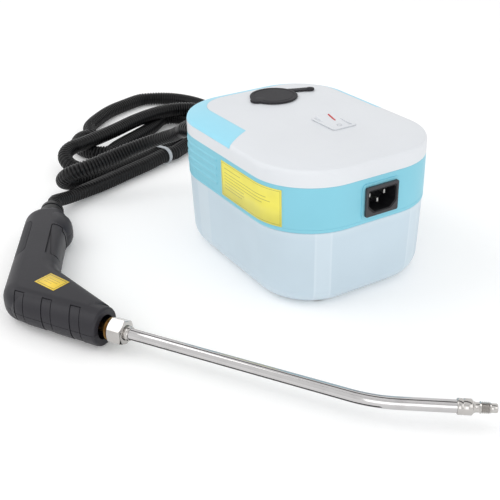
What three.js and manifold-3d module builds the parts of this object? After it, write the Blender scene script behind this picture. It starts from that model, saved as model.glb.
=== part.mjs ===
// Handheld steam cleaner: a water tank under a blue band and a white cover, with the pump and the boiler
// inside, and a ribbed hose to a pistol-grip handset with a bent steel lance.
// Millimetres, +Z up. The origin is under the middle of the tank, +X points at the mains inlet.
import * as THREE from 'three';
import { mergeVertices } from 'three/addons/utils/BufferGeometryUtils.js';
import Module from 'manifold-3d';

const wasm = await Module();
wasm.setup();

const overrun = 1; // how far a cutting shape runs past what it cuts
const seatGap = 0.3; // between pieces that rest on or fit into each other
const screwShaft = 1.9; // radius of the housing screws
const screwHead = 3.6;
const screwHeadHeight = 3;

const unit = {
  length: 192,
  width: 148.5,
  cornerRadius: 49.5,
  bandBottom: 65.5,
  bandTop: 101.3,
  wall: 2.5,
  cornerSteps: 5,
};

const tankSize = {
  topInset: 1.5,
  bottomInset: 9.3,
  edgeRound: 8,
  floor: 3,
  flangeWidth: 6.5,
  flangeHeight: 3,
  postInsetX: 19,
  postInsetY: 37.25,
  postRadius: 6.5,
  counterbore: 4.4,
  counterboreDepth: 10,
};

const gasketSize = { height: 1.6, outerInset: 4, innerInset: 7 };
const deckSize = { thickness: 2.6, inset: 3, padRadius: 4, padHeight: 3, postletRadius: 3, postletHeight: 6 };

const bandSize = {
  rimHeight: 2.6,
  groove: 0.4,
  ribCount: 4,
  ribPitch: 6.4,
  ribWidth: 2.6,
  ribProud: 0.8,
  ribFirst: 75.5,
  ribEndX: -10,
  bossRadius: 5,
  bossTop: 76.5,
  screwTop: 75,
  webThickness: 2.4,
  padProud: 0.8,
  padMargin: 3.5,
};

const coverSize = {
  shoulderStart: 8.9,
  shoulderTop: 13.3,
  shoulderInset: 2.3,
  crownHeight: 3.1,
  crownInset: 22,
  roof: 3,
  lipDrop: 3,
  lipInset: 2.8,
  lipThickness: 1.8,
};

const inlaySize = {
  depth: 1.6,
  lowestRise: 9.8,
  sideWidth: 22.25,
  rearWidth: 11,
  innerRadius: 30,
  endInnerX: -1,
  endOuterX: 17,
};

const capSize = {
  rearInset: 40,
  radius: 20.5,
  lift: 0.3,
  thickness: 1.8,
  edge: 0.6,
  plugTop: 13.3,
  plugEnd: 12.2,
  plugLength: 10,
  plugHollow: 9,
  plugRecess: 8,
  nubRadius: 6,
  nubAhead: 2.5,
  nubOut: 18,
  strapWidth: 8,
  strapBehind: 5,
  strapOut: 18,
  hingeBack: 6.9,
  hingeGap: 0.4,
  hingeRise: 0.2,
  eyeBehind: 1,
  eyeInset: 3.3,
  eyeRadius: 5,
  studRadius: 2,
  studHeadRadius: 3.2,
  studHeadHeight: 0.9,
  studDepth: 7,
};

const neckSize = { bore: 14, wall: 2.7, bottom: 61, flangeRadius: 22, flangeHeight: 2.2 };

const switchSize = {
  frontInset: 72,
  bezelLength: 31,
  bezelWidth: 22,
  bezelHeight: 1.7,
  wall: 1.2,
  bodyDepth: 14,
  sideGap: 0.4,
  rockerWidth: 16.6,
  rockerReach: 13,
  pivotDepth: 3.2,
  centreRise: 1.7,
  undersideDrop: 4,
  terminalWidth: 6.3,
  terminalThickness: 0.8,
  terminalLength: 7,
  terminalSpacing: 7,
};
const rockerTiltDeg = 8;
const rockerEdgeDeg = 19;

const inletSize = {
  y: 4,
  z: 83.3,
  flangeWidth: 31,
  flangeHeight: 23.5,
  flangeThickness: 2,
  flangeCorner: 3,
  cavityWidth: 24.5,
  cavityHeight: 16.5,
  cavityCut: 5,
  cavityDepth: 15.5,
  shellWall: 1.5,
  backWall: 3,
  pinSpacing: 7,
  pinRise: 2,
  earthDrop: 2.2,
  pinThickness: 2,
  pinHeight: 4,
  pinTipBack: 2.5,
  tabLength: 7,
};

const boilerSize = {
  x: 11,
  sideInset: 36.25,
  length: 72,
  width: 42,
  bodyHeight: 14,
  coverHeight: 8,
  heaterRadius: 3.4,
  heaterSpread: 12,
  heaterOut: 6,
  padX: 28,
  padY: 15,
  thermostatRadius: 8,
  thermostatBody: 6.4,
  thermostatHeight: 6.5,
  thermostatSpread: 13,
  fuseRadius: 2.4,
  fuseLength: 20,
  valveRadius: 4.6,
  valveHeight: 12,
};

const pumpSize = {
  frontInset: 86,
  sideInset: 31.25,
  tubeRadius: 8,
  bore: 5.2,
  height: 31,
  endWall: 3.4,
  portRadius: 1.6,
  stubRadius: 3.6,
  outletStub: 3,
  inletStub: 7.2,
  coilSide: 28,
  coilHeight: 21,
  coilLift: 4,
  bracketThickness: 1.5,
  pistonRadius: 4.9,
  pistonLength: 12,
  pistonLift: 0.4,
  springRadius: 3.9,
  springWire: 0.9,
  springTurns: 3,
};

const tubeSize = { feedRadius: 2.6, feedBore: 1.4, suctionRadius: 3, suctionBore: 1.6, strainerRadius: 7,
  strainerHeight: 9, strainerLift: 1.2 };

const boardSize = { frontInset: 46, sideInset: 31.25, length: 34, width: 30, thickness: 1.6, corner: 3.5, relay: 12, relayHeight: 10,
  capRadius: 4, capHeight: 12, capSpread: 6 };

const glandSize = { sideInset: 35.25, z: 81, sleeveRadius: 6, sleeveBore: 3.4, flangeRadius: 9.5, flangeThickness: 2.5,
  bossRadius: 11, bossProud: 2, bossInside: 14, sleeveInside: 8 };

const hoseSize = { radius: 6.5, groove: 0.9, bore: 3.6, boreSlack: 1.2, ribPitch: 14, tieRadius: 6.8, tieThickness: 1.2,
  tieWidth: 4.2, tieX: -244.3, tieY: -16.9, tieHeight: 8.5, tieHalfSpan: 7.1 };
const hoseSides = 8;
const strandTurnDeg = 23.6; // the tied strands run this far round from +Y

const handset = {
  x: 54.3,
  y: -193.1,
  z: 15,
  halfThickness: 14.7,
  wall: 2.4,
  edgeRound: 12,
  mouth: -5,
  mouthRadius: 11.6,
  lip: 2.2,
  barrelRadius: 14.6,
  heelRadius: 13.5,
  heelStart: -77,
  heelReach: 17,
  noseInner: -20,
  coreEdge: 2,
  upperNoseX: -13.5,
  upperNoseY: 3,
  upperHeelX: -81.2,
  upperHeelY: 28.1,
  frontLine: -62,
  elbowAlong: 82,
  elbowX: -86.5,
  elbowY: 30.2,
  backLine: -76,
  heelCorner: 8,
  pommelAcross: -68,
  pommelAlong: 162,
  pommelRadius: 10,
  buttReach: 17,
  buttFront: -66,
  buttCorner: 7,
  bossRadius: 10.8,
  partingGap: 0.15,
  bandStart: -63.1,
  bandPitch: 25.45,
  bandWidth: 9,
  bandDepth: 0.8,
};
const handsetTurnDeg = 32.4;
const gripTiltDeg = 32;
const handsetBands = 2;
const lipShares = { start: 0.25, rise: 0.35, end: 0.8 };

const padSize = { edge: -78, depth: 1.3, corner: 9 };

const triggerSize = {
  pivotAcross: -67,
  front: -50.5,
  fingerDepth: 1.4,
  back: -65,
  halfWidth: 9,
  bevel: 1.2,
  recessBack: -61,
  recessFront: -36,
  pommelSideAcross: -52,
  slotHalfWidth: 9.6,
  eyeRadius: 5,
  pinRadius: 2,
  pinReach: 13,
  coilRadius: 3.5,
  coilWire: 0.9,
  coilTurns: 3,
  coilGap: 3.9,
};
const triggerSqueezeDeg = 6;

const microSize = { across: -73.5, depth: 9, thickness: 6.4, level: -6.2,
  plungerRadius: 1.3, plungerInside: 4.2, triggerGap: 0.3 };

const lanceSize = {
  radius: 4.2,
  bore: 3,
  flareRadius: 6.2,
  flareStart: -2,
  flareLength: 3.3,
  bendAt: 189,
  bendRadius: 85,
  tail: 35.1,
  nutAcross: 17,
  nutStart: -8,
  nutEnd: 7,
  nutChamfer: 1,
  nutBore: 6.9,
  nutLipStart: 1.6,
  sleeveRadius: 5.4,
  sleeveEnd: 10.8,
  unionThread: 6.6,
  unionShoulder: 8.6,
  unionShoulderEnd: -9,
  unionShoulderStart: -17,
  unionTail: 4,
  unionTailStart: -30,
  unionWebStart: -20.5,
  unionBore: 1.8,
};
const lanceBendDeg = 20;

const nozzleSize = { ferruleRadius: 5.2, ferruleLength: 9.2, socketDepth: 7, neckRadius: 3.15, neckStart: 11.4,
  neckEnd: 13.4, threadRadius: 3.7, threadStart: 13.8, threadEnd: 20.3, tipRadius: 2.95, tipStart: 20.6,
  length: 24.3, bore: 1.2 };

const collarSize = { radius: 9, bore: 4.6, spigotRadius: 7, spigotLength: 7.8, length: 17.7, ringReach: 5.9,
  ringWidth: 3, ringDepth: 0.7 };

// Places along the grip, as shares of the way from its elbow to the middle of the pommel.
const gripShares = { recessStart: 0.1925, tip: 0.2375, switchMiddle: 0.5, switchLength: 0.225, frontEnd: 0.7125,
  pivot: 0.7875, pommelStart: 0.8375, recessEnd: 0.85, padEnd: 0.975 };
// How far the switch and the cap stand from the middle towards the side.
const switchShare = 0.1818;
const capShare = 0.12121;

// What follows from the sizes above: places measured from the housing's ends and sides, and along the grip.
const front = unit.length / 2;
const rear = -front;
const side = unit.width / 2;
const gripSpan = handset.pommelAlong - handset.elbowAlong;
const alongGrip = (share) => handset.elbowAlong + gripSpan * share;
Object.assign(tankSize, { postX: front - tankSize.postInsetX, postY: side - tankSize.postInsetY });
Object.assign(inlaySize, { innerY: side - inlaySize.sideWidth, innerX: rear + inlaySize.rearWidth });
Object.assign(capSize, {
  x: rear + capSize.rearInset,
  y: side * capShare,
  eyeY: inlaySize.innerY - capSize.eyeInset,
});
Object.assign(capSize, {
  nubX: capSize.x + capSize.nubAhead,
  nubY: capSize.y - capSize.nubOut,
  strapNearX: capSize.x - capSize.strapBehind,
  strapNearY: capSize.y + capSize.strapOut,
  hingeY: capSize.eyeY - capSize.hingeBack,
  eyeX: capSize.x - capSize.eyeBehind,
});
Object.assign(switchSize, { x: front - switchSize.frontInset, y: side * switchShare });
Object.assign(boilerSize, { y: boilerSize.sideInset - side });
Object.assign(pumpSize, { x: front - pumpSize.frontInset, y: side - pumpSize.sideInset });
Object.assign(boardSize, { x: front - boardSize.frontInset, y: side - boardSize.sideInset });
Object.assign(glandSize, {
  y: glandSize.sideInset - side,
  bossEndX: rear - glandSize.bossProud,
  bossStartX: rear + glandSize.bossInside,
  innerX: rear + glandSize.sleeveInside,
});
Object.assign(handset, {
  pommelStart: alongGrip(gripShares.pommelStart),
  buttAlong: handset.pommelAlong + handset.buttReach,
});
Object.assign(padSize, { start: alongGrip(gripShares.tip), end: alongGrip(gripShares.padEnd) });
Object.assign(triggerSize, {
  tipAlong: alongGrip(gripShares.tip),
  frontEnd: alongGrip(gripShares.frontEnd),
  pivotAlong: alongGrip(gripShares.pivot),
  pommelSideAlong: alongGrip(gripShares.pivot),
  recessStart: alongGrip(gripShares.recessStart),
  recessEnd: alongGrip(gripShares.recessEnd),
});
Object.assign(microSize, { along: alongGrip(gripShares.switchMiddle), length: gripSpan * gripShares.switchLength });
Object.assign(collarSize, { start: handset.buttAlong + handset.edgeRound + seatGap });
Object.assign(collarSize, {
  spigotStart: collarSize.start - collarSize.spigotLength,
  ringStart: collarSize.start + collarSize.ringReach,
  ringEnd: collarSize.start + collarSize.ringReach + collarSize.ringWidth,
  end: collarSize.start + collarSize.length,
});

const pipeSize = { radius: 3, bore: 1.8, level: 5.5 };

// The hose's free stretches, point by point, from the unit to the handset.
const outletPoints = [[-165, -45, 59.5], [-178, -54, 53], [-187.5, -67, 46.5]];
const loopGate = [-193, -90, 39.4];
const loopGateHeading = [0, -0.97, -0.24];
const secondArm = [[-229, -95, 6.8], [-235, -70, 6.8], [-243.4, -43, 7.4], [-250.8, -19.7, 8.5],
  [-259.4, -1, 8.8], [-268, 12, 10.4], [-275.5, 24, 14]];
const thirdArm = [[-333, 18, 20.6], [-324, -9, 20.6], [-308, -41, 20.6], [-297, -66, 20.6]];
const fourthArm = [[-253.5, -72, 6.8], [-262, -52, 6.8], [-270, -30, 6.8], [-276.5, -10, 6.8], [-284, 10, 6.8]];
const fifthArm = [[-329, 14, 6.8], [-313, -11, 6.8], [-300, -34, 6.8], [-291, -48, 6.8]];
const sixthArm = [[-371, -47, 6.8], [-394, -25, 6.8], [-410, -4, 6.8], [-421, 20, 6.8]];
const handleGate = [-251, 14, 6.9];
const handleGateHeading = [0.55, -0.835, 0.02];
const handleArm = [[-237.8, -14.1, 8.5], [-230, -36, 7.6], [-219, -69, 6.9], [-209, -96, 6.9], [-200, -120, 7.6],
  [-191, -140, 10.4]];
// Each turn is half an oval: its middle, half its width as a vector, its depth as a vector, and the heights
// at its start, middle and end.
const turns = {
  first: { middle: [-210, -112], half: [17, 0], depth: [0, -24], heights: [34, 20.5, 7], steps: 8 },
  second: { middle: [-308, 36], half: [27, 0], depth: [0, 33], heights: [17.5, 20.6, 20.6], steps: 10 },
  third: { middle: [-268, -90], half: [-20, 0], depth: [0, -23], heights: [20.6, 14.5, 6.8], steps: 10 },
  fourth: { middle: [-320, 36], half: [28, 0], depth: [0, 26], heights: [6.8, 6.8, 6.8], steps: 10 },
  fifth: { middle: [-314, -58], half: [31, 0], depth: [0, -23], heights: [6.8, 6.8, 6.8], steps: 10 },
  sixth: { middle: [-346, 38], half: [-83, 7.5], depth: [9, 62], heights: [6.8, 6.8, 6.8], steps: 12 },
};
// The sleeve's points, measured from where its middle line passes the housing's rear end.
const sleevePoints = [[8, 0, 0], [-8, 0, 0], [-24, -0.3, -1.6], [-35, -0.7, -4.4], [-43, -1.2, -8.6]]
  .map(([x, y, z]) => [rear + x, glandSize.y + y, glandSize.z + z]);
const gateReach = 13;
const gateGuide = 17;

const radians = THREE.MathUtils.degToRad;

// Solids: every shape below is a closed BufferGeometry, joined and cut through these functions.
function toSolid(geometry) {
  const bare = geometry.clone();
  bare.deleteAttribute('normal');
  bare.deleteAttribute('uv');
  const merged = mergeVertices(bare);
  const vertProperties = Float32Array.from(merged.attributes.position.array);
  const corners = [];
  let volume = 0;
  const point = (index) => new THREE.Vector3().fromArray(vertProperties, index * 3);
  for (let face = 0; face < merged.index.count; face += 3) {
    const [a, b, c] = [0, 1, 2].map((k) => merged.index.array[face + k]);
    if (a !== b && b !== c && c !== a) {
      corners.push([a, b, c]);
      volume += point(a).dot(point(b).cross(point(c)));
    }
  }
  const triVerts = new Uint32Array(corners.flatMap(([a, b, c]) => (volume < 0 ? [a, c, b] : [a, b, c])));
  return new wasm.Manifold(new wasm.Mesh({ numProp: 3, vertProperties, triVerts }));
}

function fromSolid(solid) {
  const mesh = solid.getMesh();
  const geometry = new THREE.BufferGeometry();
  geometry.setAttribute('position', new THREE.BufferAttribute(mesh.vertProperties, 3));
  geometry.setIndex(new THREE.BufferAttribute(mesh.triVerts, 1));
  return geometry;
}

function combine(how, first, rest) {
  return fromSolid(rest.flat().reduce((solid, shape) => solid[how](toSolid(shape)), toSolid(first)));
}

const cut = (first, ...rest) => combine('subtract', first, rest);
const join = (first, ...rest) => combine('add', first, rest);
const common = (first, ...rest) => combine('intersect', first, rest);

function block(low, high) {
  const size = high.map((value, axis) => value - low[axis]);
  const middle = high.map((value, axis) => (value + low[axis]) / 2);
  return new THREE.BoxGeometry(...size).translate(...middle);
}

function turned(profile, sides = 24) {
  const points = profile.map(([radius, height]) => new THREE.Vector2(radius, height));
  return new THREE.LatheGeometry(points, sides).rotateX(Math.PI / 2);
}

function rod(radius, low, high, x = 0, y = 0, sides = 24) {
  return turned([[0, low], [radius, low], [radius, high], [0, high]], sides).translate(x, y, 0);
}

function sleeve(radius, bore, low, high, sides = 24) {
  return turned([[bore, low], [radius, low], [radius, high], [bore, high], [bore, low]], sides);
}

const alongX = (geometry) => geometry.rotateY(Math.PI / 2);

function prism(points, low, high) {
  const outline = new THREE.Shape(points.map(([x, y]) => new THREE.Vector2(x, y)));
  return new THREE.ExtrudeGeometry(outline, { depth: high - low, bevelEnabled: false }).translate(0, 0, low);
}

function ringOutline(radius, bore, sides) {
  const outline = new THREE.Shape();
  outline.absarc(0, 0, radius, 0, Math.PI * 2);
  if (bore > 0) {
    outline.holes.push(new THREE.Path().absarc(0, 0, bore, 0, Math.PI * 2, true));
  }
  const drawn = outline.extractPoints(Math.ceil(sides / 2));
  const solid = new THREE.Shape(drawn.shape);
  solid.holes = drawn.holes.map((hole) => new THREE.Path(hole));
  return solid;
}

// A route whose sections lie at its own points, so that a straight stretch needs few.
class PointRoute extends THREE.CatmullRomCurve3 {
  constructor(points) {
    super(points.map((point) => new THREE.Vector3(...point)), false, 'centripetal');
  }

  getPointAt(share) {
    return this.getPoint(share);
  }

  getTangentAt(share) {
    return this.getTangent(share);
  }
}

function pipe(points, radius, bore, sides = 8, stepsPerPoint = 1) {
  const steps = (points.length - 1) * stepsPerPoint;
  return new THREE.ExtrudeGeometry(ringOutline(radius, bore, sides), { steps, extrudePath: new PointRoute(points) });
}

function roundedOutline(halfLength, halfWidth, radius, steps = unit.cornerSteps) {
  const points = [];
  for (let corner = 0; corner < 4; corner += 1) {
    const start = corner * Math.PI / 2;
    const signX = corner === 0 || corner === 3 ? 1 : -1;
    const signY = corner < 2 ? 1 : -1;
    for (let step = 0; step <= steps; step += 1) {
      const angle = start + step / steps * Math.PI / 2;
      const x = signX * (halfLength - radius) + radius * Math.cos(angle);
      const y = signY * (halfWidth - radius) + radius * Math.sin(angle);
      points.push([x, y]);
    }
  }
  return points;
}

function loft(rings) {
  const count = rings[0].length;
  const faces = [];
  for (let ring = 0; ring < rings.length - 1; ring += 1) {
    for (let k = 0; k < count; k += 1) {
      const a = ring * count + k;
      const b = ring * count + (k + 1) % count;
      faces.push(a, b, b + count, a, b + count, a + count);
    }
  }
  const top = (rings.length - 1) * count;
  for (let k = 1; k < count - 1; k += 1) {
    faces.push(0, k + 1, k, top, top + k, top + k + 1);
  }
  const geometry = new THREE.BufferGeometry();
  geometry.setAttribute('position', new THREE.Float32BufferAttribute(rings.flat(2), 3));
  geometry.setIndex(faces);
  return geometry;
}

// The unit's plan, drawn in by an inset at each height.
function unitLoft(levels) {
  return loft(levels.map(([height, inset]) => {
    const radius = Math.max(unit.cornerRadius - inset, seatGap);
    const outline = roundedOutline(unit.length / 2 - inset, unit.width / 2 - inset, radius);
    return outline.map(([x, y]) => [x, y, height]);
  }));
}

function unitRing(outerInset, innerInset, low, high) {
  return cut(
    unitLoft([[low, outerInset], [high, outerInset]]),
    unitLoft([[low - overrun, innerInset], [high + overrun, innerInset]]),
  );
}

function finish(colour, roughness, metalness = 0) {
  return new THREE.MeshStandardMaterial({ color: colour, roughness, metalness });
}

const whitePlastic = finish(0xe4e8ec, 0.4);
const bluePlastic = finish(0x91d7eb, 0.4);
const inlayPlastic = finish(0xaae8fa, 0.35);
const frostedPlastic = finish(0xc8dae6, 0.3);
const darkPlastic = finish(0x4b4b50, 0.55);
const blackPlastic = finish(0x232326, 0.6);
const blackRubber = finish(0x1d1d1f, 0.75);
const padRubber = finish(0x3c3c40, 0.7);
const clearTube = finish(0xd9dcdc, 0.35);
const greyNylon = finish(0xb4b9be, 0.5);
const steel = finish(0xb9bcc0, 0.3, 1);
const chrome = finish(0xd6d8da, 0.12, 1);
const brass = finish(0xb08d4a, 0.3, 1);
const castAluminium = finish(0xa3a6a9, 0.55, 1);
const copperCoil = finish(0x2f5d8c, 0.5);
const boardGreen = finish(0x2f6b45, 0.5);

const model = new THREE.Group();

function add(name, geometry, material, parent = model) {
  const tidy = fromSolid(toSolid(geometry));
  tidy.computeVertexNormals();
  const mesh = new THREE.Mesh(tidy, material);
  mesh.name = name;
  parent.add(mesh);
  return mesh;
}

const neckSides = 24;
const fourCorners = [[1, 1], [-1, 1], [-1, -1], [1, -1]];
const tankTop = unit.bandBottom - seatGap;
const gasketTop = unit.bandBottom + gasketSize.height;
const deckBottom = gasketTop + seatGap;
const deckTop = deckBottom + deckSize.thickness;
const coverBottom = unit.bandTop + seatGap;
const coverTop = coverBottom + coverSize.shoulderTop + coverSize.crownHeight;
const roofUnderside = coverTop - coverSize.roof;
const capBottom = coverTop + capSize.lift;
const capTop = capBottom + capSize.thickness;
const screwSeat = tankSize.counterboreDepth;

// Water tank: drafted walls, a rounded bottom edge, a flange for the gasket and four screw posts.
function makeTank() {
  const roundSteps = 3;
  const rounding = (radius, base, inset) => Array.from({ length: roundSteps + 1 }, (_, step) => {
    const angle = step / roundSteps * Math.PI / 2;
    return [base + radius * (1 - Math.cos(angle)), inset + radius * (1 - Math.sin(angle))];
  });
  const outer = unitLoft([
    ...rounding(tankSize.edgeRound, 0, tankSize.bottomInset),
    [tankTop, tankSize.topInset],
  ]);
  const innerRound = tankSize.edgeRound - unit.wall;
  const flangeStart = tankTop - tankSize.flangeHeight;
  const flangeInset = tankSize.topInset + tankSize.flangeWidth;
  const inner = unitLoft([
    ...rounding(innerRound, tankSize.floor, tankSize.bottomInset + unit.wall),
    [flangeStart, tankSize.topInset + unit.wall],
    [flangeStart, flangeInset],
    [tankTop + overrun, flangeInset],
  ]);
  const posts = fourCorners.map(([sx, sy]) => common(
    rod(tankSize.postRadius, 0, tankTop, sx * tankSize.postX, sy * tankSize.postY, 12),
    outer,
  ));
  const holes = fourCorners.flatMap(([sx, sy]) => [
    rod(tankSize.counterbore, -overrun, screwSeat, sx * tankSize.postX, sy * tankSize.postY, 12),
    rod(screwShaft + seatGap, -overrun, tankTop + overrun, sx * tankSize.postX, sy * tankSize.postY, 8),
  ]);
  return cut(join(cut(outer, inner), posts), holes);
}

function makeDeck() {
  const plate = unitLoft([[deckBottom, deckSize.inset], [deckTop, deckSize.inset]]);
  const boilerPads = fourCorners.map(([sx, sy]) => rod(deckSize.padRadius, deckBottom, deckTop + deckSize.padHeight,
    boilerSize.x + sx * boilerSize.padX, boilerSize.y + sy * boilerSize.padY, 8));
  const boardPosts = fourCorners.map(([sx, sy]) => rod(
    deckSize.postletRadius,
    deckBottom,
    deckTop + deckSize.postletHeight,
    boardSize.x + sx * (boardSize.length / 2 - boardSize.corner),
    boardSize.y + sy * (boardSize.width / 2 - boardSize.corner),
    8,
  ));
  const through = (radius, x, y, sides = 8) => rod(radius, deckBottom - overrun, deckTop + overrun, x, y, sides);
  return cut(
    join(plate, boilerPads, boardPosts),
    fourCorners.map(([sx, sy]) => through(screwShaft + seatGap, sx * tankSize.postX, sy * tankSize.postY)),
    through(neckSize.bore + neckSize.wall + seatGap, capSize.x, capSize.y, neckSides),
    through(pumpSize.stubRadius + seatGap, pumpSize.x, pumpSize.y, 16),
  );
}

function inletOutline(width, height, cutCorner) {
  const halfWidth = width / 2;
  const halfHeight = height / 2;
  return [
    [-halfWidth + cutCorner, -halfHeight],
    [halfWidth - cutCorner, -halfHeight],
    [halfWidth, -halfHeight + cutCorner],
    [halfWidth, halfHeight],
    [-halfWidth, halfHeight],
    [-halfWidth, -halfHeight + cutCorner],
  ];
}

// An outline drawn in Y and Z, extruded along X.
const facingX = (points, low, high) => prism(points, low, high).rotateX(Math.PI / 2).rotateZ(Math.PI / 2);
const atInlet = (geometry) => geometry.translate(0, inletSize.y, inletSize.z);
const bandFace = unit.length / 2;
const inletFace = bandFace + bandSize.padProud + seatGap;

function makeBand() {
  const rim = unit.bandBottom + bandSize.rimHeight;
  const outer = unitLoft([
    [unit.bandBottom, 0],
    [rim, 0],
    [rim, bandSize.groove],
    [rim + bandSize.groove, bandSize.groove],
    [rim + bandSize.groove, 0],
    [unit.bandTop, 0],
  ]);
  const ribs = Array.from({ length: bandSize.ribCount }, (_, index) => {
    const middle = bandSize.ribFirst + index * bandSize.ribPitch;
    const half = bandSize.ribWidth / 2;
    const bulge = unitLoft([
      [middle - half, unit.wall / 2],
      [middle - half / 2, -bandSize.ribProud],
      [middle + half / 2, -bandSize.ribProud],
      [middle + half, unit.wall / 2],
    ]);
    const rear = block([-unit.length, -unit.width, unit.bandBottom], [bandSize.ribEndX, unit.width, unit.bandTop]);
    return common(bulge, rear);
  });
  const hollow = unitLoft([[unit.bandBottom - overrun, unit.wall], [unit.bandTop + overrun, unit.wall]]);
  const inletPad = atInlet(facingX(
    roundedOutline(
      inletSize.flangeWidth / 2 + bandSize.padMargin,
      inletSize.flangeHeight / 2 + bandSize.padMargin,
      inletSize.flangeCorner + bandSize.padMargin,
      3,
    ),
    bandFace - unit.wall,
    bandFace + bandSize.padProud,
  ));
  const outletBoss = alongX(rod(glandSize.bossRadius, glandSize.bossEndX, glandSize.bossStartX, 0, 0, 20));
  outletBoss.translate(0, glandSize.y, glandSize.z);
  const bosses = fourCorners.map(([sx, sy]) => {
    const low = deckTop + seatGap;
    const middleX = unit.length / 2 - unit.cornerRadius;
    const middleY = unit.width / 2 - unit.cornerRadius;
    const angle = Math.atan2(sy * (tankSize.postY - middleY), sx * (tankSize.postX - middleX));
    const reach = unit.cornerRadius - Math.hypot(tankSize.postX - middleX, tankSize.postY - middleY);
    const web = block(
      [0, -bandSize.webThickness / 2, low],
      [reach - unit.wall / 2, bandSize.webThickness / 2, bandSize.bossTop],
    ).rotateZ(angle).translate(sx * tankSize.postX, sy * tankSize.postY, 0);
    const boss = rod(bandSize.bossRadius, low, bandSize.bossTop, sx * tankSize.postX, sy * tankSize.postY, 10);
    const hole = rod(screwShaft + seatGap, low - overrun, bandSize.screwTop + seatGap, sx * tankSize.postX,
      sy * tankSize.postY, 8);
    return cut(join(boss, web), hole);
  });
  const bodyHalfWidth = inletSize.cavityWidth / 2 + inletSize.shellWall + seatGap;
  const bodyHalfHeight = inletSize.cavityHeight / 2 + inletSize.shellWall + seatGap;
  const inletHole = atInlet(block([bandFace - unit.wall - overrun, -bodyHalfWidth, -bodyHalfHeight],
    [inletFace, bodyHalfWidth, bodyHalfHeight]));
  const outletHole = alongX(rod(glandSize.sleeveRadius + seatGap, glandSize.bossEndX - overrun,
    glandSize.bossStartX + overrun, 0, 0, 16)).translate(0, glandSize.y, glandSize.z);
  return cut(join(cut(join(outer, ribs), hollow), inletPad, outletBoss, bosses), inletHole, outletHole);
}

function coverLevels() {
  const crownStart = coverBottom + coverSize.shoulderTop;
  const rise = coverSize.shoulderTop - coverSize.shoulderStart;
  const shoulderShares = [[0, 0], [0.45, 0.12], [0.78, 0.42], [1, 1]];
  const crownShares = [[0.38, 0.17], [0.72, 0.45], [0.93, 0.75], [1, 1]];
  return [
    [coverBottom, 0],
    ...shoulderShares.map(([up, inward]) => [
      coverBottom + coverSize.shoulderStart + up * rise,
      inward * coverSize.shoulderInset,
    ]),
    ...crownShares.map(([up, inward]) => [
      crownStart + up * coverSize.crownHeight,
      coverSize.shoulderInset + inward * (coverSize.crownInset - coverSize.shoulderInset),
    ]),
  ];
}

function coverSkin(depth) {
  return unitLoft(coverLevels().map(([height, inset]) => {
    const onSide = height <= coverBottom + coverSize.shoulderStart;
    return [onSide && height === coverBottom ? height - overrun : height - depth, inset + depth];
  }));
}

// The plan of the blue inlay: everything behind its slanted ends and outside its inner edge.
function inlayPrism(grow) {
  const outside = unit.width;
  const edgeX = (y) => {
    const share = (y - inlaySize.innerY) / (unit.width / 2 - inlaySize.innerY);
    return inlaySize.endInnerX + share * (inlaySize.endOuterX - inlaySize.endInnerX) + grow;
  };
  const area = prism([
    [edgeX(0), 0],
    [edgeX(outside), outside],
    [-unit.length, outside],
    [-unit.length, -outside],
    [edgeX(outside), -outside],
  ], coverBottom + inlaySize.lowestRise - grow, coverTop + overrun);
  const halfWidth = inlaySize.innerY - grow;
  const length = unit.length;
  const middleX = inlaySize.innerX + grow + length / 2;
  const inner = roundedOutline(length / 2, halfWidth, inlaySize.innerRadius - grow)
    .map(([x, y]) => [x + middleX, y]);
  return cut(area, prism(inner, coverBottom, coverTop + overrun + overrun));
}

function makeCover() {
  const outer = unitLoft(coverLevels());
  const wallInset = unit.wall;
  const hollow = unitLoft([
    [coverBottom - overrun, wallInset],
    [coverBottom + coverSize.shoulderStart - unit.wall / 2, wallInset],
    [coverBottom + coverSize.shoulderTop - unit.wall, wallInset + coverSize.shoulderInset],
    [roofUnderside, wallInset + coverSize.crownInset],
  ]);
  const lipInner = coverSize.lipInset + coverSize.lipThickness;
  const lip = cut(
    unitLoft([
      [coverBottom - coverSize.lipDrop, coverSize.lipInset],
      [coverBottom + seatGap, coverSize.lipInset],
      [coverBottom + seatGap, wallInset / 2],
      [coverBottom + coverSize.lipThickness, wallInset / 2],
    ]),
    unitLoft([
      [coverBottom - coverSize.lipDrop - overrun, lipInner],
      [coverBottom + coverSize.lipThickness + overrun, lipInner],
    ]),
  );
  const recess = cut(inlayPrism(seatGap), coverSkin(inlaySize.depth + seatGap));
  const neckHole = rod(neckSize.bore + neckSize.wall + seatGap, coverBottom, coverTop + overrun, capSize.x,
    capSize.y, neckSides);
  const studHole = rod(capSize.studRadius + seatGap, coverBottom, coverTop + overrun, capSize.eyeX, capSize.eyeY, 12);
  const switchHalfLength = switchBodyHalfLength + seatGap;
  const switchHalfWidth = switchBodyHalfWidth + seatGap;
  const switchHole = block(
    [switchSize.x - switchHalfLength, switchSize.y - switchHalfWidth, coverBottom],
    [switchSize.x + switchHalfLength, switchSize.y + switchHalfWidth, coverTop + overrun],
  );
  return cut(join(cut(outer, hollow), lip), recess, neckHole, studHole, switchHole);
}

function makeInlay() {
  return cut(common(unitLoft(coverLevels()), inlayPrism(0)), coverSkin(inlaySize.depth));
}

function makeNeck() {
  const radius = neckSize.bore + neckSize.wall;
  const flangeLow = deckTop + seatGap;
  return turned([
    [neckSize.bore, neckSize.bottom],
    [radius, neckSize.bottom],
    [radius, flangeLow],
    [neckSize.flangeRadius, flangeLow],
    [neckSize.flangeRadius, flangeLow + neckSize.flangeHeight],
    [radius, flangeLow + neckSize.flangeHeight],
    [radius, coverTop],
    [neckSize.bore, coverTop],
    [neckSize.bore, neckSize.bottom],
  ], neckSides).translate(capSize.x, capSize.y, 0);
}

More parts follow.
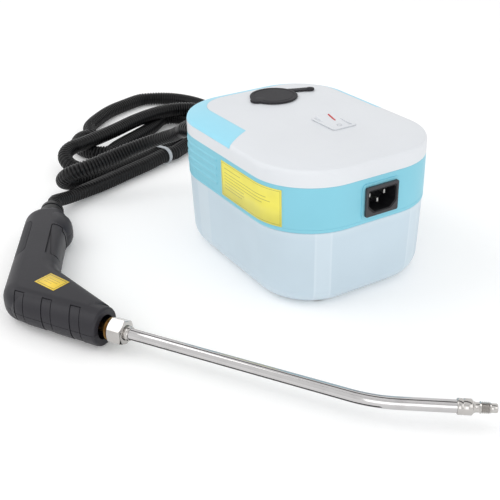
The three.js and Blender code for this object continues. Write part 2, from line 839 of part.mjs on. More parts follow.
function makeCap() {
  const disc = turned([
    [0, capBottom - capSize.plugLength + capSize.plugRecess],
    [capSize.plugHollow, capBottom - capSize.plugLength + capSize.plugRecess],
    [capSize.plugHollow, capBottom - capSize.plugLength],
    [capSize.plugEnd, capBottom - capSize.plugLength],
    [capSize.plugTop, capBottom],
    [capSize.radius, capBottom],
    [capSize.radius, capTop - capSize.edge],
    [capSize.radius - capSize.edge, capTop],
    [0, capTop],
  ], neckSides).translate(capSize.x, capSize.y, 0);
  const nub = rod(capSize.nubRadius, capBottom, capTop, capSize.nubX, capSize.nubY, 16);
  const hingeEdge = capSize.hingeY - capSize.hingeGap;
  const half = capSize.strapWidth / 2;
  const slope = (capSize.eyeX - capSize.strapNearX) / (capSize.eyeY - capSize.strapNearY);
  const strapX = (y) => capSize.strapNearX + slope * (y - capSize.strapNearY);
  const strap = prism([
    [strapX(capSize.strapNearY) - half, capSize.strapNearY],
    [strapX(capSize.strapNearY) + half, capSize.strapNearY],
    [strapX(hingeEdge) + half, hingeEdge],
    [strapX(hingeEdge) - half, hingeEdge],
  ], capBottom, capTop);
  return join(disc, nub, strap);
}

function makeStrapAnchor() {
  const half = capSize.strapWidth / 2;
  const nearEdge = capSize.hingeY + capSize.hingeGap;
  const bridge = block([capSize.eyeX - half, nearEdge, capBottom], [capSize.eyeX + half, capSize.eyeY, capTop]);
  const eye = rod(capSize.eyeRadius, capBottom, capTop, capSize.eyeX, capSize.eyeY, 20);
  const stud = rod(capSize.studRadius, coverTop - capSize.studDepth, capTop, capSize.eyeX, capSize.eyeY, 12);
  const head = rod(capSize.studHeadRadius, capTop, capTop + capSize.studHeadHeight, capSize.eyeX, capSize.eyeY, 16);
  return join(bridge, eye, stud, head);
}

// Rocker switch: the button swings on a cross axis just under its bezel.
const rockerHalfWidth = switchSize.rockerWidth / 2;
const switchBodyHalfLength = switchSize.rockerReach / Math.cos(radians(rockerEdgeDeg)) + switchSize.sideGap
  + switchSize.wall;
const switchBodyHalfWidth = rockerHalfWidth + switchSize.sideGap + switchSize.wall;
const bezelTop = coverTop + seatGap + switchSize.bezelHeight;
const rockerPivot = bezelTop - switchSize.pivotDepth;

function makeSwitchFrame() {
  const flangeLow = coverTop + seatGap;
  const outline = roundedOutline(switchSize.bezelLength / 2, switchSize.bezelWidth / 2, switchSize.wall * 2, 2);
  const flange = prism(outline, flangeLow, bezelTop);
  const body = block([-switchBodyHalfLength, -switchBodyHalfWidth, flangeLow - switchSize.bodyDepth],
    [switchBodyHalfLength, switchBodyHalfWidth, flangeLow + switchSize.wall / 2]);
  const hollowLength = switchBodyHalfLength - switchSize.wall;
  const hollowWidth = switchBodyHalfWidth - switchSize.wall;
  const hollow = block([-hollowLength, -hollowWidth, flangeLow - switchSize.bodyDepth + switchSize.wall],
    [hollowLength, hollowWidth, bezelTop + overrun]);
  const terminals = [-1, 1].map((side) => {
    const x = side * switchSize.terminalSpacing;
    const low = flangeLow - switchSize.bodyDepth;
    return block([x - switchSize.terminalThickness / 2, -switchSize.terminalWidth / 2, low - switchSize.terminalLength],
      [x + switchSize.terminalThickness / 2, switchSize.terminalWidth / 2, low + switchSize.wall / 2]);
  });
  return join(cut(join(flange, body), hollow), terminals).translate(switchSize.x, switchSize.y, 0);
}

function makeRocker() {
  const radius = switchSize.rockerReach / Math.cos(radians(rockerEdgeDeg));
  const edgeSteps = 4;
  const edge = (side) => Array.from({ length: edgeSteps + 1 }, (_, step) => {
    const angle = radians(rockerEdgeDeg) * (1 - 2 * step / edgeSteps);
    return [side * radius * Math.cos(angle), radius * Math.sin(angle)];
  });
  const outline = [
    [0, switchSize.centreRise],
    ...edge(1),
    [0, -switchSize.undersideDrop - switchSize.centreRise],
    ...edge(-1).reverse(),
  ];
  return prism(outline, -rockerHalfWidth, rockerHalfWidth).rotateX(Math.PI / 2).rotateY(radians(rockerTiltDeg))
    .translate(switchSize.x, switchSize.y, rockerPivot);
}

// Mains inlet: a flanged shell with three pins through its back wall.
const inletBack = inletFace - inletSize.cavityDepth - inletSize.backWall;
const pinPlaces = {
  live_pin: [-inletSize.pinSpacing, inletSize.pinRise],
  neutral_pin: [inletSize.pinSpacing, inletSize.pinRise],
  earth_pin: [0, -inletSize.earthDrop],
};

function pinBlock([y, z], low, high, grow) {
  const halfThickness = inletSize.pinThickness / 2 + grow;
  const halfHeight = inletSize.pinHeight / 2 + grow;
  return atInlet(block([low, y - halfThickness, z - halfHeight], [high, y + halfThickness, z + halfHeight]));
}

function makeInlet() {
  const flange = facingX(
    roundedOutline(inletSize.flangeWidth / 2, inletSize.flangeHeight / 2, inletSize.flangeCorner, 3),
    inletFace,
    inletFace + inletSize.flangeThickness,
  );
  const wall = inletSize.shellWall;
  const body = facingX(
    inletOutline(inletSize.cavityWidth + wall + wall, inletSize.cavityHeight + wall + wall, inletSize.cavityCut),
    inletBack,
    inletFace + inletSize.flangeThickness / 2,
  );
  const cavity = facingX(
    inletOutline(inletSize.cavityWidth, inletSize.cavityHeight, inletSize.cavityCut),
    inletFace + inletSize.flangeThickness - inletSize.cavityDepth,
    inletFace + inletSize.flangeThickness + overrun,
  );
  const slots = Object.values(pinPlaces).map((place) => pinBlock(place, inletBack - overrun, inletFace, seatGap));
  return cut(atInlet(cut(join(flange, body), cavity)), slots);
}

// The steam works on the deck.
const boilerLow = deckTop + deckSize.padHeight + seatGap;
const boilerSplit = boilerLow + boilerSize.bodyHeight;
const boilerTop = boilerSplit + seatGap + boilerSize.coverHeight;
const heaterEnd = boilerSize.length / 2 + boilerSize.heaterOut;

function heaterPipe(radius, reach) {
  const spread = boilerSize.heaterSpread;
  const bendX = -boilerSize.length / 2 + spread + spread / 2;
  const outline = [[reach, -spread], [bendX + spread, -spread], [bendX, -spread]];
  const bend = [-60, -30, 0, 30, 60].map((deg) => [bendX - spread * Math.cos(radians(deg)),
    spread * Math.sin(radians(deg))]);
  const back = [[bendX, spread], [bendX + spread, spread], [reach, spread]];
  const points = [...outline, ...bend, ...back].map(([x, y]) => [x, y, 0]);
  return pipe(points, radius, 0, 8).translate(boilerSize.x, boilerSize.y, boilerSplit + seatGap / 2);
}

function boilerBlock(low, high, margin) {
  const outline = roundedOutline(boilerSize.length / 2 - margin, boilerSize.width / 2 - margin,
    boilerSize.heaterOut, 3);
  return prism(outline, low, high).translate(boilerSize.x, boilerSize.y, 0);
}

function makePumpBody() {
  const low = pumpLow;
  const boreLow = low + pumpSize.endWall;
  const boreTop = low + pumpSize.height - pumpSize.endWall;
  const top = low + pumpSize.height;
  return turned([
    [pumpSize.portRadius, low - pumpSize.inletStub],
    [pumpSize.stubRadius, low - pumpSize.inletStub],
    [pumpSize.stubRadius, low],
    [pumpSize.tubeRadius, low],
    [pumpSize.tubeRadius, top],
    [pumpSize.stubRadius, top],
    [pumpSize.stubRadius, top + pumpSize.outletStub],
    [pumpSize.portRadius, top + pumpSize.outletStub],
    [pumpSize.portRadius, boreTop],
    [pumpSize.bore, boreTop],
    [pumpSize.bore, boreLow],
    [pumpSize.portRadius, boreLow],
    [pumpSize.portRadius, low - pumpSize.inletStub],
  ], 14).translate(pumpSize.x, pumpSize.y, 0);
}

const bracketTop = deckTop + seatGap + pumpSize.bracketThickness;
const pumpLow = bracketTop + seatGap;
const coilLow = pumpLow + pumpSize.coilLift;
const pistonLow = pumpLow + pumpSize.endWall + pumpSize.pistonLift;
const springLow = pistonLow + pumpSize.pistonLength + seatGap;
const springHigh = pumpLow + pumpSize.height - pumpSize.endWall - seatGap;

function makePumpCoil() {
  const half = pumpSize.coilSide / 2;
  return cut(
    block([-half, -half, coilLow], [half, half, coilLow + pumpSize.coilHeight]),
    rod(pumpSize.tubeRadius + seatGap, coilLow - overrun, coilLow + pumpSize.coilHeight + overrun, 0, 0, 14),
  ).translate(pumpSize.x, pumpSize.y, 0);
}

function makePumpBracket() {
  const thickness = pumpSize.bracketThickness;
  const outside = pumpSize.coilSide / 2 + seatGap + thickness;
  const low = deckTop + seatGap;
  const high = coilLow + pumpSize.coilHeight;
  const half = pumpSize.coilSide / 2;
  const outline = [
    [-outside, low], [outside, low], [outside, high], [outside - thickness, high],
    [outside - thickness, low + thickness], [-outside + thickness, low + thickness],
    [-outside + thickness, high], [-outside, high],
  ];
  const frame = prism(outline, -half, half).rotateX(Math.PI / 2);
  const hole = rod(pumpSize.stubRadius + seatGap, low - overrun, low + thickness + overrun, 0, 0, 16);
  return cut(frame, hole).translate(pumpSize.x, pumpSize.y, 0);
}

function helix(radius, wire, turnCount, low, high) {
  const stepsPerTurn = 8;
  const first = low + wire / 2;
  const rise = high - low - wire;
  const points = Array.from({ length: turnCount * stepsPerTurn + 1 }, (_, step) => {
    const angle = step / stepsPerTurn * Math.PI * 2;
    const height = first + rise * step / (turnCount * stepsPerTurn);
    return [radius * Math.cos(angle), radius * Math.sin(angle), height];
  });
  return pipe(points, wire / 2, 0, 5);
}

function makeFeedTube() {
  const startZ = pumpLow + pumpSize.height + pumpSize.outletStub + seatGap;
  const inletX = boilerSize.x - boilerSize.length / 2 + boilerSize.heaterSpread;
  const inletY = boilerSize.y + boilerSize.padY;
  const rise = (roofUnderside - startZ) / 2;
  return pipe([
    [pumpSize.x, pumpSize.y, startZ],
    [pumpSize.x, pumpSize.y, startZ + rise / 2],
    [pumpSize.x - rise, pumpSize.y - rise, startZ + rise],
    [pumpSize.x - boilerSize.padX / 2, pumpSize.y / 2, startZ + rise / 2],
    [inletX, 0, boilerTop + rise + rise],
    [inletX, inletY, boilerTop + rise + seatGap],
    [inletX, inletY, boilerTop + seatGap],
  ], tubeSize.feedRadius, tubeSize.feedBore, 6, 2);
}

function makeSuctionTube() {
  const low = tankSize.floor + tubeSize.strainerLift + tubeSize.strainerHeight + seatGap;
  const high = pumpLow - pumpSize.inletStub - seatGap;
  return sleeve(tubeSize.suctionRadius, tubeSize.suctionBore, low, high, 12).translate(pumpSize.x, pumpSize.y, 0);
}

function makeStrainer() {
  const low = tankSize.floor + tubeSize.strainerLift;
  const high = low + tubeSize.strainerHeight;
  const cup = sleeve(tubeSize.strainerRadius, tubeSize.suctionBore, low, high, 12);
  const slotCount = 6;
  const slots = Array.from({ length: slotCount / 2 }, (_, index) => {
    const half = tubeSize.suctionBore / 2;
    return block([-tubeSize.strainerRadius - overrun, -half, low - overrun],
      [tubeSize.strainerRadius + overrun, half, high - tubeSize.suctionBore - half]).rotateZ(index * Math.PI / 3);
  });
  return cut(cup, slots).translate(pumpSize.x, pumpSize.y, 0);
}

function makeBoard() {
  const low = deckTop + deckSize.postletHeight + seatGap;
  const top = low + boardSize.thickness;
  const halfX = boardSize.length / 2;
  const halfY = boardSize.width / 2;
  const board = block([-halfX, -halfY, low], [halfX, halfY, top]);
  const relay = block([-halfX / 2 - boardSize.relay / 2, -boardSize.relay / 2, low],
    [-halfX / 2 + boardSize.relay / 2, boardSize.relay / 2, top + boardSize.relayHeight]);
  const cans = [-1, 1].map((side) => rod(boardSize.capRadius, low, top + boardSize.capHeight, halfX / 2,
    side * boardSize.capSpread, 12));
  return join(board, relay, cans).translate(boardSize.x, boardSize.y, 0);
}

function makeScrew(sx, sy) {
  const head = screwSeat - seatGap;
  return turned([
    [0, head - screwHeadHeight],
    [screwHead, head - screwHeadHeight],
    [screwHead, head],
    [screwShaft, head],
    [screwShaft, bandSize.screwTop],
    [0, bandSize.screwTop],
  ], 8).translate(sx * tankSize.postX, sy * tankSize.postY, 0);
}

const sleeveRoute = new THREE.CatmullRomCurve3(sleevePoints.map((point) => new THREE.Vector3(...point)), false,
  'centripetal');

function makeGland() {
  const body = new THREE.ExtrudeGeometry(ringOutline(glandSize.sleeveRadius, 0, 12),
    { steps: 8, extrudePath: sleeveRoute });
  const flange = alongX(rod(glandSize.flangeRadius, glandSize.bossEndX - seatGap - glandSize.flangeThickness,
    glandSize.bossEndX - seatGap, 0, 0, 16)).translate(0, glandSize.y, glandSize.z);
  const start = sleeveRoute.getPointAt(0);
  const end = sleeveRoute.getPointAt(1);
  const lead = sleeveRoute.getTangentAt(0).multiplyScalar(-overrun).add(start);
  const trail = sleeveRoute.getTangentAt(1).multiplyScalar(overrun).add(end);
  const along = [0.25, 0.5, 0.75].map((share) => sleeveRoute.getPointAt(share));
  const boreRoute = [lead, start, ...along, end, trail].map((point) => point.toArray());
  return cut(join(body, flange), pipe(boreRoute, glandSize.sleeveBore, 0, 8));
}

add('tank', makeTank(), frostedPlastic);
add('tank_gasket', unitRing(gasketSize.outerInset, gasketSize.innerInset, unit.bandBottom, gasketTop), blackRubber);
add('deck_tray', makeDeck(), whitePlastic);
add('band_shell', makeBand(), bluePlastic);
add('top_cover', makeCover(), whitePlastic);
add('cover_inlay', makeInlay(), inlayPlastic);
add('filler_neck', makeNeck(), whitePlastic);
add('filler_cap', makeCap(), blackRubber);
add('cap_strap_anchor', makeStrapAnchor(), blackRubber);
add('switch_frame', makeSwitchFrame(), whitePlastic);
add('rocker_button', makeRocker(), whitePlastic);
add('inlet_socket', makeInlet(), blackPlastic);
for (const [name, place] of Object.entries(pinPlaces)) {
  const tip = inletFace + inletSize.flangeThickness - inletSize.pinTipBack;
  add(name, pinBlock(place, inletBack - inletSize.tabLength, tip, 0), steel);
}
add('boiler_body', cut(boilerBlock(boilerLow, boilerSplit, 0), heaterPipe(boilerSize.heaterRadius + seatGap,
  heaterEnd)), castAluminium);
add('boiler_cover', cut(boilerBlock(boilerSplit + seatGap, boilerTop, boilerSize.heaterOut / 3),
  heaterPipe(boilerSize.heaterRadius + seatGap, heaterEnd)), castAluminium);
add('heater', heaterPipe(boilerSize.heaterRadius, heaterEnd - overrun), steel);
['thermostat_1', 'thermostat_2'].forEach((name, index) => {
  const x = boilerSize.x + (index === 0 ? -1 : 1) * boilerSize.thermostatSpread;
  const low = boilerTop + seatGap;
  const flangeTop = low + boilerSize.thermostatHeight / 3;
  add(name, turned([
    [0, low],
    [boilerSize.thermostatRadius, low],
    [boilerSize.thermostatRadius, flangeTop],
    [boilerSize.thermostatBody, flangeTop],
    [boilerSize.thermostatBody, low + boilerSize.thermostatHeight],
    [0, low + boilerSize.thermostatHeight],
  ], 16).translate(x, boilerSize.y, 0), steel);
});
add('thermal_fuse', alongX(rod(boilerSize.fuseRadius, -boilerSize.fuseLength / 2, boilerSize.fuseLength / 2, 0, 0, 10))
  .translate(boilerSize.x, boilerSize.y + boilerSize.padY, boilerTop + seatGap + boilerSize.fuseRadius), steel);
add('safety_valve', turned([
  [0, boilerTop + seatGap],
  [boilerSize.valveRadius, boilerTop + seatGap],
  [boilerSize.valveRadius, boilerTop + seatGap + boilerSize.valveHeight / 2],
  [boilerSize.valveRadius / 2, boilerTop + seatGap + boilerSize.valveHeight / 2],
  [boilerSize.valveRadius / 2, boilerTop + seatGap + boilerSize.valveHeight],
  [0, boilerTop + seatGap + boilerSize.valveHeight],
], 12).translate(boilerSize.x + boilerSize.padX, boilerSize.y - boilerSize.heaterSpread, 0), brass);
add('pump_body', makePumpBody(), steel);
add('pump_coil', makePumpCoil(), copperCoil);
add('pump_bracket', makePumpBracket(), steel);
add('pump_piston', sleeve(pumpSize.pistonRadius, pumpSize.portRadius, pistonLow, pistonLow + pumpSize.pistonLength, 16)
  .translate(pumpSize.x, pumpSize.y, 0), steel);
add('pump_spring', helix(pumpSize.springRadius, pumpSize.springWire, pumpSize.springTurns, springLow, springHigh)
  .translate(pumpSize.x, pumpSize.y, 0), steel);
add('feed_tube', makeFeedTube(), clearTube);
add('suction_tube', makeSuctionTube(), clearTube);
add('suction_strainer', makeStrainer(), whitePlastic);
const boilerRear = boilerSize.x - boilerSize.length / 2 - seatGap;
add('steam_tube', pipe([
  [boilerRear, boilerSize.y, boilerLow + boilerSize.bodyHeight / 2],
  [boilerRear - glandSize.flangeRadius, boilerSize.y, boilerLow + boilerSize.bodyHeight / 2],
  [glandSize.innerX + glandSize.flangeRadius, glandSize.y, glandSize.z + seatGap],
  [glandSize.innerX + seatGap, glandSize.y, glandSize.z],
], tubeSize.suctionRadius, tubeSize.suctionBore, 8, 3), clearTube);
add('control_board', makeBoard(), boardGreen);
fourCorners.forEach(([sx, sy], index) => add(`housing_screw_${index + 1}`, makeScrew(sx, sy), steel));
add('outlet_gland', makeGland(), blackRubber);

// Handset, in its own frame: X along the barrel to the nozzle, Y to the grip's side, Z through its thickness.
const handsetGroup = new THREE.Group();
handsetGroup.position.set(handset.x, handset.y, handset.z);
handsetGroup.rotation.z = radians(handsetTurnDeg);
handsetGroup.updateMatrixWorld(true);
model.add(handsetGroup);

const gripTilt = radians(gripTiltDeg);
// A place on the grip: across it from the back to the trigger, and along it from the barrel to the hose.
const onGrip = (across, along) => [
  across * Math.cos(gripTilt) - along * Math.sin(gripTilt),
  across * Math.sin(gripTilt) + along * Math.cos(gripTilt),
];
const turnToGrip = (geometry) => geometry.rotateZ(gripTilt);

function cornerArc(before, corner, after, radius, steps) {
  const toBefore = new THREE.Vector2(...before).sub(new THREE.Vector2(...corner)).normalize();
  const toAfter = new THREE.Vector2(...after).sub(new THREE.Vector2(...corner)).normalize();
  const half = Math.acos(toBefore.dot(toAfter)) / 2;
  const reach = radius / Math.tan(half);
  const start = toBefore.clone().multiplyScalar(reach).add(new THREE.Vector2(...corner));
  const end = toAfter.clone().multiplyScalar(reach).add(new THREE.Vector2(...corner));
  const middle = toBefore.clone().add(toAfter).normalize().multiplyScalar(radius / Math.sin(half))
    .add(new THREE.Vector2(...corner));
  const from = start.clone().sub(middle).angle();
  let sweep = end.clone().sub(middle).angle() - from;
  sweep -= Math.round(sweep / (Math.PI * 2)) * Math.PI * 2;
  return Array.from({ length: steps + 1 }, (_, step) => {
    const angle = from + sweep * step / steps;
    return [middle.x + radius * Math.cos(angle), middle.y + radius * Math.sin(angle)];
  });
}

// The handset's middle outline, an edge round inside its silhouette.
function handsetCore() {
  const noseLow = [handset.noseInner, handset.coreEdge];
  const noseHigh = [handset.noseInner, handset.upperNoseY + (handset.upperNoseX - handset.noseInner)
    * (handset.upperHeelY - handset.upperNoseY) / (handset.upperNoseX - handset.upperHeelX)];
  const elbow = [handset.elbowX, handset.elbowY];
  const frontLow = onGrip(handset.frontLine, handset.elbowAlong + handset.edgeRound);
  const frontHigh = onGrip(handset.frontLine, handset.pommelStart);
  const pommel = [-33, -10, 15, 40, 62].map((deg) => onGrip(
    handset.pommelAcross + handset.pommelRadius * Math.cos(radians(deg)),
    handset.pommelAlong + handset.pommelRadius * Math.sin(radians(deg)),
  ));
  const buttFront = onGrip(handset.buttFront, handset.buttAlong);
  const buttBack = onGrip(handset.backLine, handset.buttAlong);
  const heel = [(handset.backLine - handset.coreEdge * Math.sin(gripTilt)) / Math.cos(gripTilt), handset.coreEdge];
  return [
    noseLow,
    noseHigh,
    elbow,
    frontLow,
    frontHigh,
    ...pommel,
    buttFront,
    ...cornerArc(buttFront, buttBack, heel, handset.buttCorner, 4),
    ...cornerArc(buttBack, heel, noseLow, handset.heelCorner, 5),
  ];
}

// The moulding's outer form, drawn in by a depth: a slab with fully rounded edges and a round barrel.
function handsetForm(depth, bevelSegments = 2) {
  const core = new THREE.Shape(handsetCore().map(([x, y]) => new THREE.Vector2(x, y)));
  const flat = (handset.halfThickness - handset.edgeRound) * 2;
  const round = handset.edgeRound - depth;
  const slab = new THREE.ExtrudeGeometry(core, {
    depth: flat,
    steps: 1,
    bevelThickness: round,
    bevelSize: round,
    bevelSegments,
  }).translate(0, 0, -flat / 2);
  const heel = handset.heelRadius - depth;
  const reach = handset.heelReach - depth;
  const heelShares = [[0, 1], [0.45, 0.9], [0.75, 0.66], [0.94, 0.34]];
  const rounded = heelShares.map(([across, back]) => [heel * across, handset.heelStart - reach * back]);
  const lip = handset.lip;
  const barrelEnd = handset.barrelRadius - depth;
  const front = depth > 0 ? [
    [barrelEnd, handset.mouth - lip],
    [handset.mouthRadius, handset.mouth - lip],
    [handset.mouthRadius, handset.mouth + overrun],
    [0, handset.mouth + overrun],
  ] : [
    [barrelEnd, handset.mouth - lip],
    [barrelEnd - lip * lipShares.start, handset.mouth - lip * lipShares.rise],
    [barrelEnd - lip * lipShares.end, handset.mouth],
    [0, handset.mouth],
  ];
  const taper = (barrelEnd - heel) / (handset.mouth - handset.lip - handset.heelStart);
  const radiusAt = (x) => heel + taper * (x - handset.heelStart);
  const grooves = depth > 0 ? [] : Array.from({ length: handsetBands }, (_, index) => {
    const start = handset.bandStart + index * handset.bandPitch;
    const end = start + handset.bandWidth;
    return [[radiusAt(start), start], [radiusAt(start) - handset.bandDepth, start],
      [radiusAt(end) - handset.bandDepth, end], [radiusAt(end), end]];
  }).flat().filter(([, x]) => x > handset.heelStart);
  const barrel = alongX(turned([...rounded, [heel, handset.heelStart], ...grooves, ...front], 20));
  const boss = turnToGrip(rod(handset.bossRadius - depth, -handset.buttAlong - handset.edgeRound + depth,
    -handset.buttAlong + handset.edgeRound, 0, 0, 16).rotateX(Math.PI / 2)
    .translate(gripAxis, 0, 0));
  return join(slab, barrel, boss);
}

const gripAxis = handset.pommelAcross - overrun / 2;
const gripBox = (low, high) => turnToGrip(block(low, high));

function triggerRecess(grow, halfHeight) {
  return turnToGrip(prism([
    [triggerSize.recessBack - grow, triggerSize.recessStart - grow],
    [triggerSize.recessFront, triggerSize.recessStart - grow],
    [triggerSize.recessFront, triggerSize.frontEnd + grow],
    [triggerSize.pommelSideAcross + grow / 2, triggerSize.pommelSideAlong + grow],
    [triggerSize.pommelSideAcross - grow, triggerSize.recessEnd + grow],
    [triggerSize.recessBack - grow, triggerSize.recessEnd + grow],
  ], -halfHeight, halfHeight));
}

function padPrism(grow) {
  const middle = (padSize.start + padSize.end) / 2;
  const halfLength = (padSize.end - padSize.start) / 2 + grow;
  const depth = -handset.backLine;
  const outline = roundedOutline(depth / 2, halfLength, padSize.corner, 4)
    .map(([x, y]) => [x - depth / 2 + padSize.edge + grow, y + middle]);
  return turnToGrip(prism(outline, -handset.barrelRadius - overrun, handset.barrelRadius + overrun));
}

function makeHandsetShells() {
  const outer = handsetForm(0, 4);
  const tall = handset.halfThickness + overrun;
  const hollow = cut(handsetForm(handset.wall), triggerRecess(handset.wall, tall));
  const slot = gripBox(
    [triggerSize.recessBack - handset.wall - overrun, triggerSize.recessStart + seatGap, -triggerSize.slotHalfWidth],
    [triggerSize.recessBack + overrun, triggerSize.recessEnd, triggerSize.slotHalfWidth],
  );
  const padRecess = cut(padPrism(seatGap), handsetForm(padSize.depth + seatGap, 4));
  const [pivotX, pivotY] = onGrip(triggerSize.pivotAcross, triggerSize.pivotAlong);
  const innerFace = handset.halfThickness - handset.wall;
  const pinBosses = [-1, 1].map((side) => {
    const ends = [side * (triggerSize.halfWidth + seatGap * 2), side * (innerFace + handset.wall / 2)];
    return rod(triggerSize.eyeRadius, Math.min(...ends), Math.max(...ends), pivotX, pivotY, 16);
  });
  const pinHole = rod(triggerSize.pinRadius + seatGap, -triggerSize.pinReach - seatGap,
    triggerSize.pinReach + seatGap, pivotX, pivotY, 16);
  const collarHole = turnToGrip(rod(collarSize.spigotRadius + seatGap, -collarSize.start - overrun,
    -collarSize.spigotStart + handset.edgeRound, 0, 0, 20).rotateX(Math.PI / 2).translate(gripAxis, 0, 0));
  const unionWeb = alongX(sleeve(handset.barrelRadius - handset.wall / 2, lanceSize.unionTail + seatGap,
    lanceSize.unionWebStart, lanceSize.unionShoulderStart - seatGap, 20));
  const whole = cut(join(cut(outer, hollow), pinBosses, unionWeb), triggerRecess(0, tall), slot, padRecess, pinHole, collarHole);
  const far = handset.buttAlong * 2;
  const half = (low, high) => block([-far, -far, low], [far, far, high]);
  return {
    upper: common(whole, half(handset.partingGap, tall)),
    lower: common(whole, half(-tall, -handset.partingGap)),
  };
}

function makeTrigger() {
  const tipRadius = Math.hypot(triggerSize.front - triggerSize.pivotAcross,
    triggerSize.pivotAlong - triggerSize.tipAlong);
  const tip = (across) => [across, triggerSize.pivotAlong
    - Math.sqrt(tipRadius ** 2 - (across - triggerSize.pivotAcross) ** 2)];
  const middleAlong = (triggerSize.tipAlong + triggerSize.frontEnd) / 2;
  const quarter = (triggerSize.frontEnd - triggerSize.tipAlong) / 4;
  const outline = [
    tip(triggerSize.back),
    tip((triggerSize.back + triggerSize.front) / 2),
    tip(triggerSize.front),
    [triggerSize.front - triggerSize.fingerDepth, middleAlong - quarter],
    [triggerSize.front - triggerSize.fingerDepth, middleAlong + quarter],
    [triggerSize.front, triggerSize.frontEnd],
    [triggerSize.pommelSideAcross - triggerSize.bevel, triggerSize.pommelSideAlong - triggerSize.bevel],
    [triggerSize.recessBack + triggerSize.bevel, triggerSize.recessEnd - triggerSize.bevel],
    [triggerSize.pivotAcross, triggerSize.pivotAlong + triggerSize.eyeRadius],
    [triggerSize.pivotAcross - triggerSize.eyeRadius, triggerSize.pivotAlong],
    [triggerSize.pivotAcross - triggerSize.eyeRadius / 2, triggerSize.frontEnd],
    [triggerSize.back, triggerSize.frontEnd - triggerSize.eyeRadius],
  ];
  const shape = new THREE.Shape(outline.map(([x, y]) => new THREE.Vector2(x, y)));
  const bevel = triggerSize.bevel;
  const lever = new THREE.ExtrudeGeometry(shape, {
    depth: (triggerSize.halfWidth - bevel) * 2,
    bevelThickness: bevel,
    bevelSize: bevel,
    bevelOffset: -bevel,
    bevelSegments: 2,
  }).translate(0, 0, bevel - triggerSize.halfWidth);
  const bore = rod(triggerSize.pinRadius + seatGap, -triggerSize.halfWidth - overrun,
    triggerSize.halfWidth + overrun, triggerSize.pivotAcross, triggerSize.pivotAlong, 16);
  const coilRoom = rod(triggerSize.coilRadius + triggerSize.coilWire, -triggerSize.coilGap, triggerSize.coilGap,
    triggerSize.pivotAcross, triggerSize.pivotAlong, 16);
  return turnToGrip(cut(lever, bore, coilRoom));
}

// The bent lance in its own plane: straight, a bend, and a straight tail.
const bend = radians(lanceBendDeg);
const bendTangent = lanceSize.bendRadius * Math.tan(bend / 2);
const tailStart = [
  lanceSize.bendAt + bendTangent * Math.cos(bend),
  bendTangent * Math.sin(bend),
];
const alongTail = (distance) => [
  tailStart[0] + distance * Math.cos(bend),
  tailStart[1] + distance * Math.sin(bend),
];

function makeLance() {
  const bendShares = [0.25, 0.5, 0.75];
  const arc = bendShares.map((share) => {
    const angle = bend * share;
    return [
      lanceSize.bendAt - bendTangent + lanceSize.bendRadius * Math.sin(angle),
      lanceSize.bendRadius * (1 - Math.cos(angle)),
    ];
  });
  const straightEnd = lanceSize.bendAt - bendTangent;
  const inFerrule = alongTail(lanceSize.tail + nozzleSize.socketDepth - seatGap);
  const route = [
    [lanceSize.flareStart, 0],
    [straightEnd - lanceSize.radius, 0],
    [straightEnd, 0],
    ...arc,
    tailStart,
    alongTail(lanceSize.radius),
    inFerrule,
  ].map(([x, y]) => [x, y, 0]);
  const flare = alongX(rod(lanceSize.flareRadius, lanceSize.flareStart, lanceSize.flareStart + lanceSize.flareLength,
    0, 0, 16));
  const beyond = alongTail(lanceSize.tail + nozzleSize.socketDepth);
  const boreRoute = [[lanceSize.flareStart - overrun, 0, 0], ...route.slice(1, -1), [...beyond, 0]];
  return cut(join(pipe(route, lanceSize.radius, 0, 14), flare), pipe(boreRoute, lanceSize.bore, 0, 10));
}

function makeNut() {
  const corner = lanceSize.nutAcross / 2 / Math.cos(Math.PI / 6);
  const hexagon = Array.from({ length: 6 }, (_, index) => [
    corner * Math.cos(index * Math.PI / 3),
    corner * Math.sin(index * Math.PI / 3),
  ]);
  const body = common(
    prism(hexagon, lanceSize.nutStart, lanceSize.nutEnd),
    turned([
      [0, lanceSize.nutStart],
      [corner - lanceSize.nutChamfer, lanceSize.nutStart],
      [corner, lanceSize.nutStart + lanceSize.nutChamfer],
      [corner, lanceSize.nutEnd - lanceSize.nutChamfer],
      [corner - lanceSize.nutChamfer, lanceSize.nutEnd],
      [0, lanceSize.nutEnd],
    ], 24),
  );
  return alongX(cut(
    body,
    rod(lanceSize.nutBore, lanceSize.nutStart - overrun, lanceSize.nutLipStart, 0, 0, 16),
    rod(lanceSize.radius + seatGap, lanceSize.nutStart, lanceSize.nutEnd + overrun, 0, 0, 16),
  ));
}

function makeUnion() {
  const threadEnd = lanceSize.flareStart - seatGap;
  return alongX(turned([
    [lanceSize.unionBore, lanceSize.unionTailStart],
    [lanceSize.unionTail, lanceSize.unionTailStart],
    [lanceSize.unionTail, lanceSize.unionShoulderStart],
    [lanceSize.unionShoulder, lanceSize.unionShoulderStart],
    [lanceSize.unionShoulder, lanceSize.unionShoulderEnd],
    [lanceSize.unionThread, lanceSize.unionShoulderEnd],
    [lanceSize.unionThread, threadEnd],
    [lanceSize.unionBore, threadEnd],
    [lanceSize.unionBore, lanceSize.unionTailStart],
  ], 14));
}

function makeNozzle() {
  const size = nozzleSize;
  const socket = lanceSize.radius + seatGap;
  return alongX(turned([
    [socket, 0],
    [size.ferruleRadius, 0],
    [size.ferruleRadius, size.ferruleLength],
    [size.neckRadius, size.neckStart],
    [size.neckRadius, size.neckEnd],
    [size.threadRadius, size.threadStart],
    [size.threadRadius, size.threadEnd],
    [size.tipRadius, size.tipStart],
    [size.tipRadius, size.length],
    [size.bore, size.length],
    [size.bore, size.socketDepth],
    [socket, size.socketDepth],
    [socket, 0],
  ], 14)).rotateZ(bend).translate(...alongTail(lanceSize.tail), 0);
}

